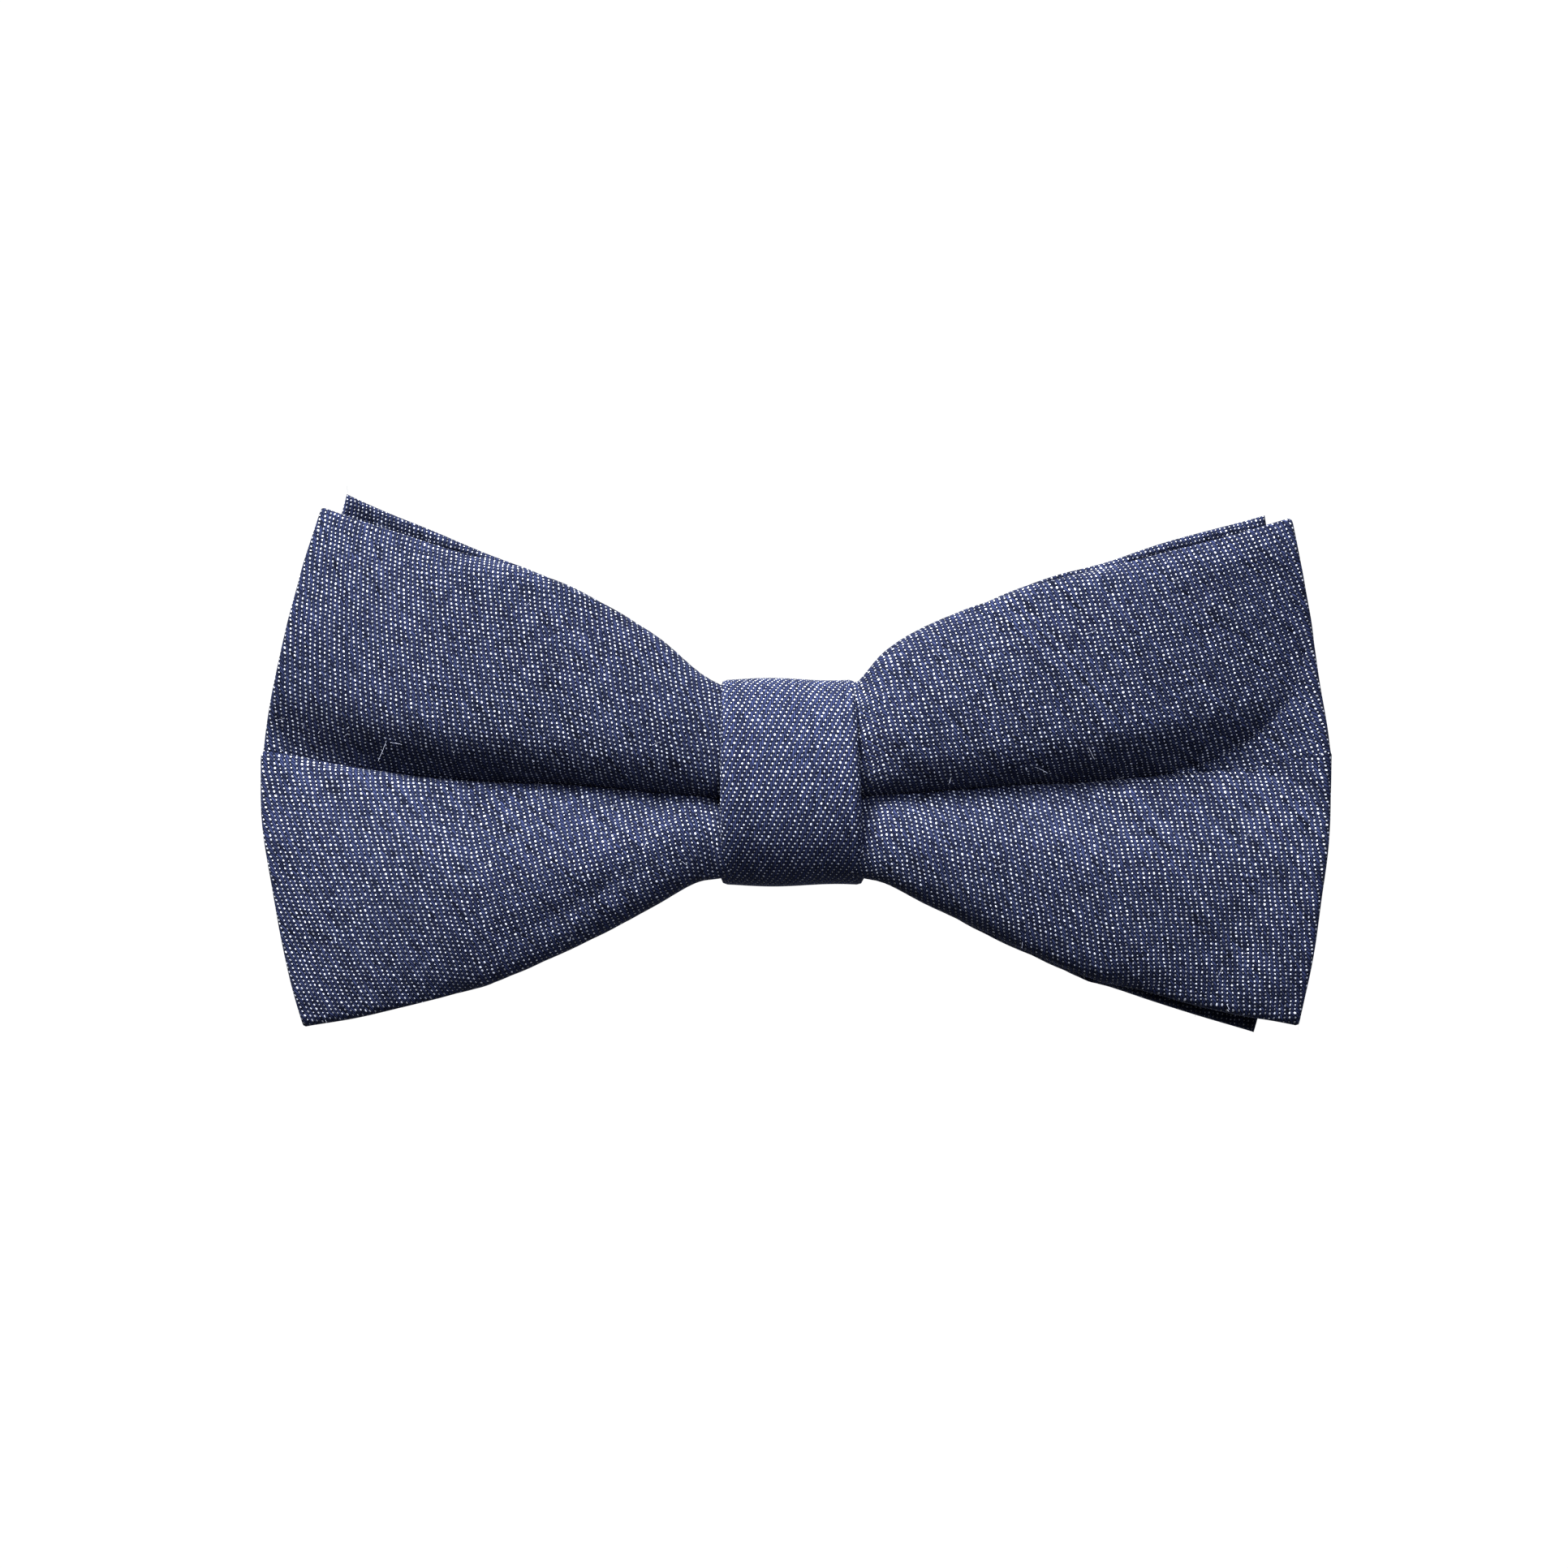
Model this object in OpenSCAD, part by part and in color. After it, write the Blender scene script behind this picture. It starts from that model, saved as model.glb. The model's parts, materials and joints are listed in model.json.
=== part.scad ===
// Clip-on bow tie of woven denim. Two flattened tubes of cloth, one behind the other, are pinched at
// the waist by a binding thread and covered by a wrapped knot. A sprung steel collar clip is sewn to
// the back of the knot. It stands upright as worn: X runs along the bow, +Z is up and the front
// faces -Y. The origin is the middle of the clip's closed grip, where the collar edge is held.

/* [Bow layers] */
// Width of the front layer across its two outer edges
front_w = 120; // [100:0.5:130]
// Width of the back layer across its two outer edges
back_w = 117.4; // [98:0.5:126]
// Height of the front layer's upper corners above the middle of the knot
front_up = 29.8; // [25:0.1:32]
// Depth of the front layer's lower corners below the middle of the knot
front_down = 27.1; // [23:0.1:30]
// Height of the back layer's upper corners above the middle of the knot
back_up = 30.9; // [25:0.1:33]
// Depth of the back layer's lower corners below the middle of the knot
back_down = 27.8; // [23:0.1:31]
// How far the middle of an outer edge stands out past its corners
edge_bulge = 5.2; // [2:0.1:8]
// Depth of the front layer where it leaves the knot
front_depth = 6.2; // [5.6:0.1:6.4]
// Depth of the back layer where it leaves the knot
back_depth = 4.7; // [4.2:0.1:4.8]
// Depth of each layer at its outer edge
edge_depth = 1.5; // [1.5:0.1:2.5]
// Thickness of the woven cloth
cloth_t = 0.4; // [0.3:0.05:0.4]
// Thickness of the stiffening sheet inside each layer
interlining_t = 0.6; // [0.4:0.05:0.6]

/* [Knot] */
// Width of the knot along the bow
knot_w = 15.9; // [14:0.1:17]
// Height of the knot
knot_h = 23.2; // [23:0.1:26]
// Depth of the knot from front to back
knot_depth = 15.2; // [15.1:0.1:17]
// Radius of the knot's bends over the top and the bottom
knot_bend_r = 2.6; // [2:0.1:3.5]
// Thickness of the knot's wall: cloth, stiffening sheet, cloth
knot_wall = 1.5; // [1.4:0.05:1.6]
// Diameter of the thread that binds the waist
binding_d = 0.5; // [0.3:0.05:0.5]
// Turns of thread around the waist
binding_turns = 6; // [3:1:7]
// Diameter of the sewing thread
thread_d = 0.4; // [0.25:0.05:0.45]

/* [Collar clip] */
// Width of the clip's two gripping bars
grip_w = 38; // [32:1:44]
// Height of the gripping bars
grip_h = 4.8; // [4:0.1:5]
// Thickness of the stamped steel sheet
sheet_t = 0.7; // [0.5:0.05:0.8]
// Gap between the closed grips, with no collar in them
grip_gap = 0.2; // [0.1:0.05:0.4]
// Wall thickness of the rubber sleeves on the jaw
sleeve_t = 0.6; // [0.4:0.05:0.6]
// Radius of the hinge pin
pin_r = 0.7; // [0.5:0.05:0.75]
// Diameter of the spring wire
wire_d = 0.55; // [0.4:0.05:0.6]

/* [Hidden] */
$fn = 48;
slack = 0.05;                                   // clearance between a sheet and what encloses it

// The knot's back face lies on the clip base, which is in front of the grip gap
knot_back_y = -grip_gap / 2 - sheet_t;
knot_y = knot_back_y - knot_depth / 2;
knot_z = 8;
layer_gap_y = knot_y + 0.45;                    // plane between the two bow layers
layer_gap = 0.3;

// Waist of the bow, inside the knot and under the binding
waist_x = knot_w / 2 + 0.25;
waist_h = knot_h / 2 - knot_wall - 0.2;
neck_x = 2.9;
neck_in = binding_d + 0.1;
edge_steps = 9;                                 // straight steps in each curved side
corner_lean = 0.3;                              // how much further out the lower corners stand
side_margin = 1;                                // plan of a layer beyond its outer edges
flare_x = 19;                                   // where the sides of a wing turn outwards
upper_flare = 0.75;                             // height of that turn, as a share of the corner's
lower_flare = 0.68;
crown_rise = 1.2;                               // how much a wing swells outside the knot
valley_rise = 7.4;                              // slope of the pleat's valley, in degrees
valley_floor = 1.75;                            // depth of layer left behind the pleat's valley
valley_drop = 1.2;                              // start of the valley below the knot's middle
valley_mouth = 3;                               // how far in front of the layer the cut starts
sheet_inset = 0.2;                              // room round the stiffening sheet

// Stitches
stitch_pitch = 2.6;
stitch_length = 1.3;
knot_seam_z = knot_z + 8.3;

// Clip: hinge axis, ears, tab and sewing holes
hinge_y = 2.9;
hinge_z = 9;
pin_clearance = 0.05;
ear_r = 2.1;
base_ear_x = 4.9;
jaw_ear_x = 3.9;
panel_w = 11.2;
panel_top = 15.2;
panel_r = 1.6;
tab_w = 11;
tab_bottom = 12.2;
tab_top = 18.4;
tab_r = 2;
plate_y = 5.2;                                  // plane of the back leaf at the hinge
window_w = 4.2;                                 // window in the back leaf, over the coil
window_h = 3.6;
window_r = 0.8;
jaw_ear_r = 1.9;
rib_r = 0.3;                                    // three ribs across the tab, for grip
rib_margin = 3.5;
rib_places = [0.5, 0.65, 0.8];
pin_head_t = 0.5;
pin_head_rim = 0.45;
pin_hold = 0.02;                                // room round the pin where the base's ears hold it
hole_r = 0.65;
sew_holes = [[-3.8, 13.6], [3.8, 13.6], [-6.6, 0], [6.6, 0]];
jaw_y = grip_gap / 2 + sleeve_t + slack + sheet_t / 2;
jaw_line = [[jaw_y, -grip_h / 2], [jaw_y, grip_h / 2 + 0.3], [plate_y, 7], [plate_y, 10.5], [6.8, tab_top]];
jaw_bend_r = 1;
sleeve_x = 9;                                   // where the sleeves start, either side
sleeve_r = 0.9;

// Spring: mean coil radius, the angles at which its legs leave the coil, and the legs' length
coil_r = 1.125;
coil_half = 1.35;
coil_turns = 4;
near_leg = 196.5;
far_leg = 345.6;
leg_length = 5.4;
coil_steps = 72;
wire_sides = 8;

function unit(v) = v / norm(v);
function curve(a, b, c, t) = (1 - t) * (1 - t) * a + 2 * (1 - t) * t * b + t * t * c;
function mirrored(points) = [for (i = [len(points) - 1:-1:0]) [-points[i].x, points[i].y]];

// Moves each point of a counter-clockwise outline inwards by d
function inset(points, d) = [
    for (i = [0:len(points) - 1])
    let (before = points[(i + len(points) - 1) % len(points)])
    let (after = points[(i + 1) % len(points)])
    let (in_dir = unit(after - points[i]))
    let (out_dir = unit(points[i] - before))
    let (inwards = unit([-in_dir.y - out_dir.y, in_dir.x + out_dir.x]))
    points[i] + inwards * d / (inwards * [-in_dir.y, in_dir.x])
];

// The same for an open line: moves each point to its left by d
function beside(points, d) =
    let (last = len(points) - 1)
    [
        for (i = [0:last])
        let (out_dir = unit(points[max(i, 1)] - points[max(i, 1) - 1]))
        let (in_dir = unit(points[min(i, last - 1) + 1] - points[min(i, last - 1)]))
        let (left = unit([-in_dir.y - out_dir.y, in_dir.x + out_dir.x]))
        points[i] + left * d / (left * [-in_dir.y, in_dir.x])
    ];
function reversed(points) = [for (i = [len(points) - 1:-1:0]) points[i]];

// Rounds the bends of an open line, starting and ending each one at a distance r from its corner
function rounded_line(points, r) = concat(
    [points[0]],
    [
        for (i = [1:len(points) - 2], t = [0:0.25:1])
        let (start = points[i] + r * unit(points[i - 1] - points[i]))
        let (end = points[i] + r * unit(points[i + 1] - points[i]))
        curve(start, points[i], end, t)
    ],
    [points[len(points) - 1]]
);

// Right half of a layer seen from the front, from the waist's lower side round to its upper side
function half_outline(half_w, up, down) =
    let (upper = [half_w - edge_bulge - corner_lean, up])
    let (lower = [half_w - edge_bulge + corner_lean, -down])
    let (bulge = [half_w + edge_bulge, 1])
    concat(
        [[neck_x, -waist_h], [waist_x, -waist_h]],
        [for (i = [1:edge_steps])
            curve([waist_x, -waist_h], [flare_x, -lower_flare * down], lower, i / edge_steps)],
        [for (i = [1:edge_steps]) curve(lower, bulge, upper, i / edge_steps)],
        [for (i = [1:edge_steps])
            curve(upper, [flare_x, upper_flare * up], [waist_x, waist_h], i / edge_steps)],
        [[neck_x, waist_h]]
    );

// A layer seen from the front, with a neck for the binding
function outline(half_w, up, down) =
    let (half = half_outline(half_w, up, down))
    let (neck = [[neck_x, waist_h - neck_in], [-neck_x, waist_h - neck_in]])
    let (neck_low = [[-neck_x, neck_in - waist_h], [neck_x, neck_in - waist_h]])
    concat(half, neck, mirrored(half), neck_low);

// A layer seen from above, flat along y = 0 and crowned on the other side
function half_plan(half_w, depth) =
    concat(
        [[half_w + side_margin, 0]],
        [for (i = [0:edge_steps])
            curve([half_w + side_margin, edge_depth], [half_w / 2, depth + crown_rise],
                [waist_x, depth], i / edge_steps)],
        [[neck_x, depth], [neck_x, depth - neck_in]]
    );
function plan(half_w, depth) = let (half = half_plan(half_w, depth)) concat(half, mirrored(half));

// Valley of the pleat, cut from both wings: steep on its upper side, open on its lower side
module pleat(half_w, depth, d) {
    apex = valley_floor - 1.4 * d;              // leaves a wall of at least d under the apex
    front = depth + valley_mouth;
    for (side = [0, 1]) {
        mirror([side, 0, 0])
        translate([waist_x - 2, 0, -valley_drop])
        rotate([0, -valley_rise, 0])
        rotate([90, 0, 90])
        linear_extrude(height = half_w)
        polygon([[apex, 0], [front, -0.8 * depth - 1.2 * d], [front, 0.6 + 1.2 * d]]);
    }
}

// Body of a layer whose crowned side faces +Y, shrunk by d on every side
module layer_form(half_w, up, down, depth, d) {
    difference() {
        intersection() {
            rotate([90, 0, 0])
            linear_extrude(height = 4 * depth, center = true)
            polygon(inset(outline(half_w, up, down), d));
            translate([0, 0, -2 * down])
            linear_extrude(height = 4 * down)
            polygon(inset(plan(half_w, depth), d));
        }
        pleat(half_w, depth, d);
    }
}

// Stiffening sheet, flat against the back wall of a layer
module sheet_form(half_w, up, down) {
    d = cloth_t + slack;
    translate([0, d + interlining_t, 0])
    rotate([90, 0, 0])
    linear_extrude(height = interlining_t)
    polygon(inset(outline(half_w - 6 * sheet_inset, up - 2 * sheet_inset, down - 2 * sheet_inset),
        d + sheet_inset));
}

// Puts a layer in place: the front one is turned about its own height to face forwards
module place_front() {
    translate([0, layer_gap_y - layer_gap / 2, knot_z]) mirror([0, 1, 0]) children();
}

module place_back() {
    translate([0, layer_gap_y + layer_gap / 2, knot_z]) children();
}

module front_bow() {
    color("#3a456b")
    place_front()
    difference() {
        layer_form(front_w / 2, front_up, front_down, front_depth, 0);
        layer_form(front_w / 2, front_up, front_down, front_depth, cloth_t);
    }
}

module back_bow() {
    color("#333d60")
    place_back()
    difference() {
        layer_form(back_w / 2, back_up, back_down, back_depth, 0);
        layer_form(back_w / 2, back_up, back_down, back_depth, cloth_t);
    }
}

module front_interlining() {
    color("ivory") place_front() sheet_form(front_w / 2, front_up, front_down);
}

module back_interlining() {
    color("ivory") place_back() sheet_form(back_w / 2, back_up, back_down);
}

// Rectangle with round corners, centred
module round_rect(w, h, r) {
    square([w - 2 * r, h], center = true);
    square([w, h - 2 * r], center = true);
    for (x = [-1, 1], y = [-1, 1]) {
        translate([x * (w / 2 - r), y * (h / 2 - r)]) circle(r = r);
    }
}

// Band around the X axis, centred on the knot: outer size less d, and a wall
module knot_band(width, d, wall) {
    translate([0, knot_y, knot_z])
    rotate([90, 0, 90])
    linear_extrude(height = width, center = true)
    difference() {
        round_rect(knot_depth - 2 * d, knot_h - 2 * d, knot_bend_r - d);
        round_rect(knot_depth - 2 * d - 2 * wall, knot_h - 2 * d - 2 * wall, knot_bend_r - d - wall);
    }
}

module knot_wrap() {
    color("#3f4b73")
    difference() {
        knot_band(knot_w, 0, knot_wall);
        knot_band(knot_w - 2 * cloth_t, cloth_t, knot_wall - 2 * cloth_t);
    }
}

module knot_interlining() {
    d = cloth_t + slack;
    color("ivory") knot_band(knot_w - 2 * d, d, knot_wall - 2 * d);
}

// Turns of thread around the neck of both layers, tied off along the top
module waist_binding() {
    low = layer_gap_y - layer_gap / 2 - front_depth + neck_in;
    high = layer_gap_y + layer_gap / 2 + back_depth - neck_in;
    inner_w = high - low + 2 * slack;
    inner_h = 2 * (waist_h - neck_in) + 2 * slack;
    pitch = binding_d + 0.12;
    color("midnightblue")
    translate([0, (low + high) / 2, knot_z]) {
        for (turn = [0:binding_turns - 1]) {
            translate([(turn - (binding_turns - 1) / 2) * pitch, 0, 0])
            rotate([90, 0, 90])
            linear_extrude(height = binding_d, center = true)
            difference() {
                square([inner_w + 2 * binding_d, inner_h + 2 * binding_d], center = true);
                square([inner_w, inner_h], center = true);
            }
        }
        translate([-(binding_turns - 1) * pitch / 2, -binding_d / 2, inner_h / 2])
        cube([(binding_turns - 1) * pitch, binding_d, binding_d]);
    }
}

// Hand stitches that close the wrap's overlap, along the top of the knot's back
module knot_stitches() {
    color("midnightblue")
    for (i = [-2:2]) {
        translate([i * stitch_pitch, knot_back_y + thread_d / 2 + 0.02, knot_seam_z - stitch_length / 2])
        cylinder(d = thread_d, h = stitch_length, $fn = 16);
    }
}

// Thread loops through the sewing holes and over the edge of the base, into the knot
module clip_stitches() {
    reach = [panel_top - sew_holes[0].y, 0, grip_h / 2, 0];
    color("midnightblue")
    for (i = [0:3], strand = [-1, 1]) {
        over = (i < 2 ? reach[0] : reach[2]) + thread_d / 2 + slack;
        translate([sew_holes[i].x + strand * thread_d * 0.55, knot_back_y + 0.02, sew_holes[i].y]) {
            for (z = [0, over]) {
                translate([0, 0, z])
                rotate([-90, 0, 0])
                cylinder(d = thread_d, h = sheet_t + thread_d / 2, $fn = 16);
            }
            translate([0, sheet_t + thread_d / 2, -thread_d / 4])
            cylinder(d = thread_d, h = over + thread_d / 2, $fn = 16);
        }
    }
}

// Profile in the Y-Z plane, pushed out along X
module across(w) {
    rotate([90, 0, 90]) linear_extrude(height = w, center = true) children();
}

// Shape in the X-Z plane, pushed out along Y from y0
module along_y(y0, t) {
    translate([0, y0 + t, 0]) rotate([90, 0, 0]) linear_extrude(height = t) children();
}

module gripping_bar() {
    round_rect(grip_w, grip_h, grip_h / 2 - 0.01);
}

module base_ear() {
    difference() {
        union() {
            translate([hinge_y, hinge_z]) circle(r = ear_r);
            translate([knot_back_y, hinge_z - ear_r]) square([hinge_y - knot_back_y, 2 * ear_r]);
        }
        translate([hinge_y, hinge_z]) circle(r = pin_r + pin_hold);
    }
}

// Front leaf of the clip, sewn to the knot: gripping bar, panel and two folded ears
module clip_base() {
    color("silver") {
        difference() {
            along_y(knot_back_y, sheet_t) {
                gripping_bar();
                translate([0, panel_top / 2]) round_rect(panel_w, panel_top, panel_r);
            }
            for (hole = sew_holes) {
                translate([hole.x, knot_back_y - 1, hole.y])
                rotate([-90, 0, 0])
                cylinder(r = hole_r, h = sheet_t + 2);
            }
        }
        for (side = [-1, 1]) {
            translate([side * (base_ear_x + sheet_t / 2), 0, 0]) across(sheet_t) base_ear();
        }
    }
}

// Strip of sheet bent along a line of points
module bent_strip(points) {
    polygon(concat(beside(points, sheet_t / 2), reversed(beside(points, -sheet_t / 2))));
}

// Outline of the back leaf seen from behind: gripping bar, neck with a window, and thumb tab
module jaw_outline() {
    neck_w = 2 * (jaw_ear_x + sheet_t);
    difference() {
        union() {
            gripping_bar();
            translate([-neck_w / 2, 0]) square([neck_w, tab_bottom + 2]);
            translate([0, (tab_bottom + tab_top + 1) / 2])
            round_rect(tab_w, tab_top + 1 - tab_bottom, tab_r);
        }
        translate([0, hinge_z]) round_rect(window_w, window_h, window_r);
    }
}

module jaw_ear() {
    reach = plate_y - hinge_y;
    difference() {
        union() {
            translate([hinge_y, hinge_z]) circle(r = jaw_ear_r);
            translate([hinge_y, hinge_z - jaw_ear_r]) square([reach, 2 * jaw_ear_r - 0.4]);
        }
        translate([hinge_y, hinge_z]) circle(r = pin_r + pin_clearance);
    }
}

// Back leaf of the clip: turns on the pin, and its tab is pressed to open the grip
module clip_jaw() {
    tab_run = jaw_line[4] - jaw_line[3];
    color("silver") {
        intersection() {
            across(grip_w + 2) bent_strip(rounded_line(jaw_line, jaw_bend_r));
            along_y(-5, 20) jaw_outline();
        }
        for (side = [-1, 1]) {
            translate([side * (jaw_ear_x + sheet_t / 2), 0, 0]) across(sheet_t) jaw_ear();
        }
        for (share = rib_places) {
            at = jaw_line[3] + share * tab_run;
            across(tab_w - rib_margin) translate([at.x + sheet_t / 2, at.y]) circle(r = rib_r, $fn = 24);
        }
    }
}

// Pin with peened heads outside the base's ears
module hinge_pin() {
    head_x = base_ear_x + sheet_t + slack;
    color("gainsboro") {
        across(2 * head_x + pin_head_t / 2) translate([hinge_y, hinge_z]) circle(r = pin_r);
        for (side = [-1, 1]) {
            translate([side * (head_x + pin_head_t / 2), 0, 0])
            across(pin_head_t)
            translate([hinge_y, hinge_z])
            circle(r = pin_r + pin_head_rim);
        }
    }
}

// Wire centre line: a leg on the base, the coil around the pin and a leg on the tab
function coil_point(i) =
    let (a = near_leg + (far_leg - near_leg + 360 * coil_turns) * i / coil_steps)
    [-coil_half + 2 * coil_half * i / coil_steps, hinge_y + coil_r * cos(a), hinge_z + coil_r * sin(a)];
near_dir = [0, -sin(near_leg), cos(near_leg)];
far_dir = [0, -sin(far_leg), cos(far_leg)];
wire_line = concat(
    [coil_point(0) - leg_length * near_dir, coil_point(0) - 0.1 * leg_length * near_dir],
    [for (i = [0:coil_steps]) coil_point(i)],
    [coil_point(coil_steps) + 0.1 * leg_length * far_dir, coil_point(coil_steps) + leg_length * far_dir]
);

// Torsion spring of round wire
module torsion_spring() {
    last = len(wire_line) - 1;
    rings = [
        for (i = [0:last])
        let (dir = unit(wire_line[min(i + 1, last)] - wire_line[max(i - 1, 0)]))
        let (side = unit([1, 0, 0] - dir.x * dir))
        let (up = cross(dir, side))
        for (k = [0:wire_sides - 1])
        wire_line[i] + wire_d / 2 * (cos(360 * k / wire_sides) * side + sin(360 * k / wire_sides) * up)
    ];
    walls = [
        for (i = [0:last - 1], k = [0:wire_sides - 1])
        let (a = i * wire_sides + k)
        let (b = i * wire_sides + (k + 1) % wire_sides)
        [a, a + wire_sides, b + wire_sides, b]
    ];
    start_cap = [for (k = [0:wire_sides - 1]) k];
    end_cap = [for (k = [wire_sides - 1:-1:0]) last * wire_sides + k];
    color("lightslategray") polyhedron(points = rings, faces = concat([start_cap], walls, [end_cap]));
}

// Rubber sleeve over one end of the jaw's bar, closed at its tip
module grip_sleeve(side) {
    room_y = sheet_t + 2 * slack;
    room_z = grip_h + 2 * slack;
    length = grip_w / 2 + slack + sleeve_t - sleeve_x;
    color("#26262a")
    difference() {
        translate([side * (sleeve_x + length / 2), 0, 0])
        across(length)
        translate([jaw_y, 0])
        round_rect(room_y + 2 * sleeve_t, room_z + 2 * sleeve_t, sleeve_r);
        translate([side * (sleeve_x + length / 2 - sleeve_t), 0, 0])
        across(length)
        translate([jaw_y, 0])
        square([room_y, room_z], center = true);
    }
}

module left_grip_sleeve() {
    grip_sleeve(-1);
}

module right_grip_sleeve() {
    grip_sleeve(1);
}

front_bow();
back_bow();
front_interlining();
back_interlining();
waist_binding();
knot_wrap();
knot_interlining();
knot_stitches();
clip_base();
clip_stitches();
hinge_pin();
torsion_spring();
clip_jaw();
left_grip_sleeve();
right_grip_sleeve();
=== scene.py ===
"""Clip-on bow tie of woven denim: the cloth, threads and finishes built round its CAD frame."""

import json
import math
import random

import bmesh
import bpy
import numpy as np
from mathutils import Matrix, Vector, noise


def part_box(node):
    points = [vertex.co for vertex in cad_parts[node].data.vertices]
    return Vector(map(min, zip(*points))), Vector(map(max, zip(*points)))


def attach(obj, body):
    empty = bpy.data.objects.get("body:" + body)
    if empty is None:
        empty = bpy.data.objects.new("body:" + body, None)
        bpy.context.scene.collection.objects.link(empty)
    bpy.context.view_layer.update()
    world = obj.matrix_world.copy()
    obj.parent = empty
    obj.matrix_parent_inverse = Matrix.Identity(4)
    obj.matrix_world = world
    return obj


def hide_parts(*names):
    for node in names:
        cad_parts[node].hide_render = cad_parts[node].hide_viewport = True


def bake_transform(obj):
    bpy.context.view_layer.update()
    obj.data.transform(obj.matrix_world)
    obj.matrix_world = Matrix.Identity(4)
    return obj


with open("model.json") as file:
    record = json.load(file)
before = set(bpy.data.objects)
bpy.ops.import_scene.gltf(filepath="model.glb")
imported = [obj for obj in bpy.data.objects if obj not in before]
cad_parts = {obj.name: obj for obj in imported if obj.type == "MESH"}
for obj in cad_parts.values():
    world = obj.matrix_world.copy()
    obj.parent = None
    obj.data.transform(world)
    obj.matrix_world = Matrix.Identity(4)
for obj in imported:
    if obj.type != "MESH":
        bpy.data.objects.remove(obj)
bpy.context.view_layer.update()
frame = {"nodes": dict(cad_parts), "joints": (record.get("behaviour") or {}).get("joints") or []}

bl_info = {
    "name": "Denim clip-on bow tie",
    "version": (1, 0, 0),
    "blender": (4, 5, 0),
    "location": "3D View > Sidebar > Bow tie",
    "description": "Builds a pre-tied denim bow tie and its collar clip",
    "category": "Add Mesh",
}

MM = 0.001
EDGE_SHARE = 0.04  # share of the mesh's steps that go round a folded edge
SEAM_REACH = 0.5  # how far a tube's seam pulls the cloth in on either side, in mm


def box_mm(node):
    """Lowest and highest corner of a CAD node, in millimetres."""
    low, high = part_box(node)
    return np.array(low) / MM, np.array(high) / MM


KNOT_LOW, KNOT_HIGH = box_mm("knot_wrap")
KNOT_MIDDLE = (KNOT_LOW + KNOT_HIGH) / 2
KNOT_HALF = (KNOT_HIGH - KNOT_LOW) / 2
# The layers are shaped about the plane where they meet, at the height of the knot's middle
LAYER_MIDDLE = np.array([0.0, (box_mm("front_bow")[1][1] + box_mm("back_bow")[0][1]) / 2, KNOT_MIDDLE[2]])
BASE_TOP = box_mm("clip_base")[1][2]
HINGE = next(j for j in frame["joints"] if j["name"] == "clip_jaw_hinge")
HINGE_POINT = np.array(HINGE["pos_m"]) / MM
# Sewing holes of the clip's base: place along the bow, height, and the height of the edge that the
# thread goes over, in mm
SEWING_HOLES = ((-3.8, 13.6, BASE_TOP + 0.3), (3.8, 13.6, BASE_TOP + 0.3), (-6.6, 0.0, 2.7), (6.6, 0.0, 2.7))


# ---------------------------------------------------------------- settings


class BowSizes(bpy.types.PropertyGroup):
    """Sizes of the bow's cloth."""

    layer_width: bpy.props.FloatProperty(
        name="Layer width", description="Width of a flattened cloth tube, from fold to fold",
        default=0.0605, unit="LENGTH", subtype="DISTANCE")
    layer_length: bpy.props.FloatProperty(
        name="Layer length", description="Length of a flattened cloth tube, from end to end",
        default=0.1215, unit="LENGTH", subtype="DISTANCE")
    layer_thickness: bpy.props.FloatProperty(
        name="Layer thickness", description="Thickness of a flattened tube with its stiffening sheet",
        default=0.00124, unit="LENGTH", subtype="DISTANCE")
    cloth_thickness: bpy.props.FloatProperty(
        name="Cloth thickness", description="Thickness of the woven cloth",
        default=0.00034, unit="LENGTH", subtype="DISTANCE")
    stiffening_thickness: bpy.props.FloatProperty(
        name="Stiffening thickness", description="Thickness of the non-woven stiffening sheet",
        default=0.00045, unit="LENGTH", subtype="DISTANCE")
    knot_thickness: bpy.props.FloatProperty(
        name="Knot band thickness", description="Thickness of the knot's folded band",
        default=0.00135, unit="LENGTH", subtype="DISTANCE")


class ClothSettings(bpy.types.PropertyGroup):
    """The twill cloth."""

    end_spacing: bpy.props.FloatProperty(
        name="Warp spacing", description="Distance between neighbouring warp yarns",
        default=0.000227, precision=6, unit="LENGTH", subtype="DISTANCE")
    pick_spacing: bpy.props.FloatProperty(
        name="Weft spacing", description="Distance between neighbouring weft yarns on the bow",
        default=0.000406, precision=6, unit="LENGTH", subtype="DISTANCE")
    knot_pick_spacing: bpy.props.FloatProperty(
        name="Weft spacing on the knot", description="The knot's cloth is stretched along its warp",
        default=0.000454, precision=6, unit="LENGTH", subtype="DISTANCE")
    bias: bpy.props.FloatProperty(
        name="Bias", description="Angle from the bow's length to the weft",
        default=math.radians(41), subtype="ANGLE")
    warp_dark: bpy.props.StringProperty(
        name="Dark warp", default="#0a0d1d",
        description="Indigo where the dye is deepest, as an sRGB hex value")
    warp_light: bpy.props.StringProperty(
        name="Light warp", default="#39426a",
        description="Indigo where the dye has rubbed, as an sRGB hex value")
    weft: bpy.props.StringProperty(
        name="Weft", description="Undyed cotton, as an sRGB hex value", default="#e3e8f6")
    # Painted shade: the dark colour painted between the yarns and down the sides of each warp float
    gap: bpy.props.StringProperty(
        name="Gap", description="Shade between the yarns, as an sRGB hex value", default="#04060f")


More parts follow.
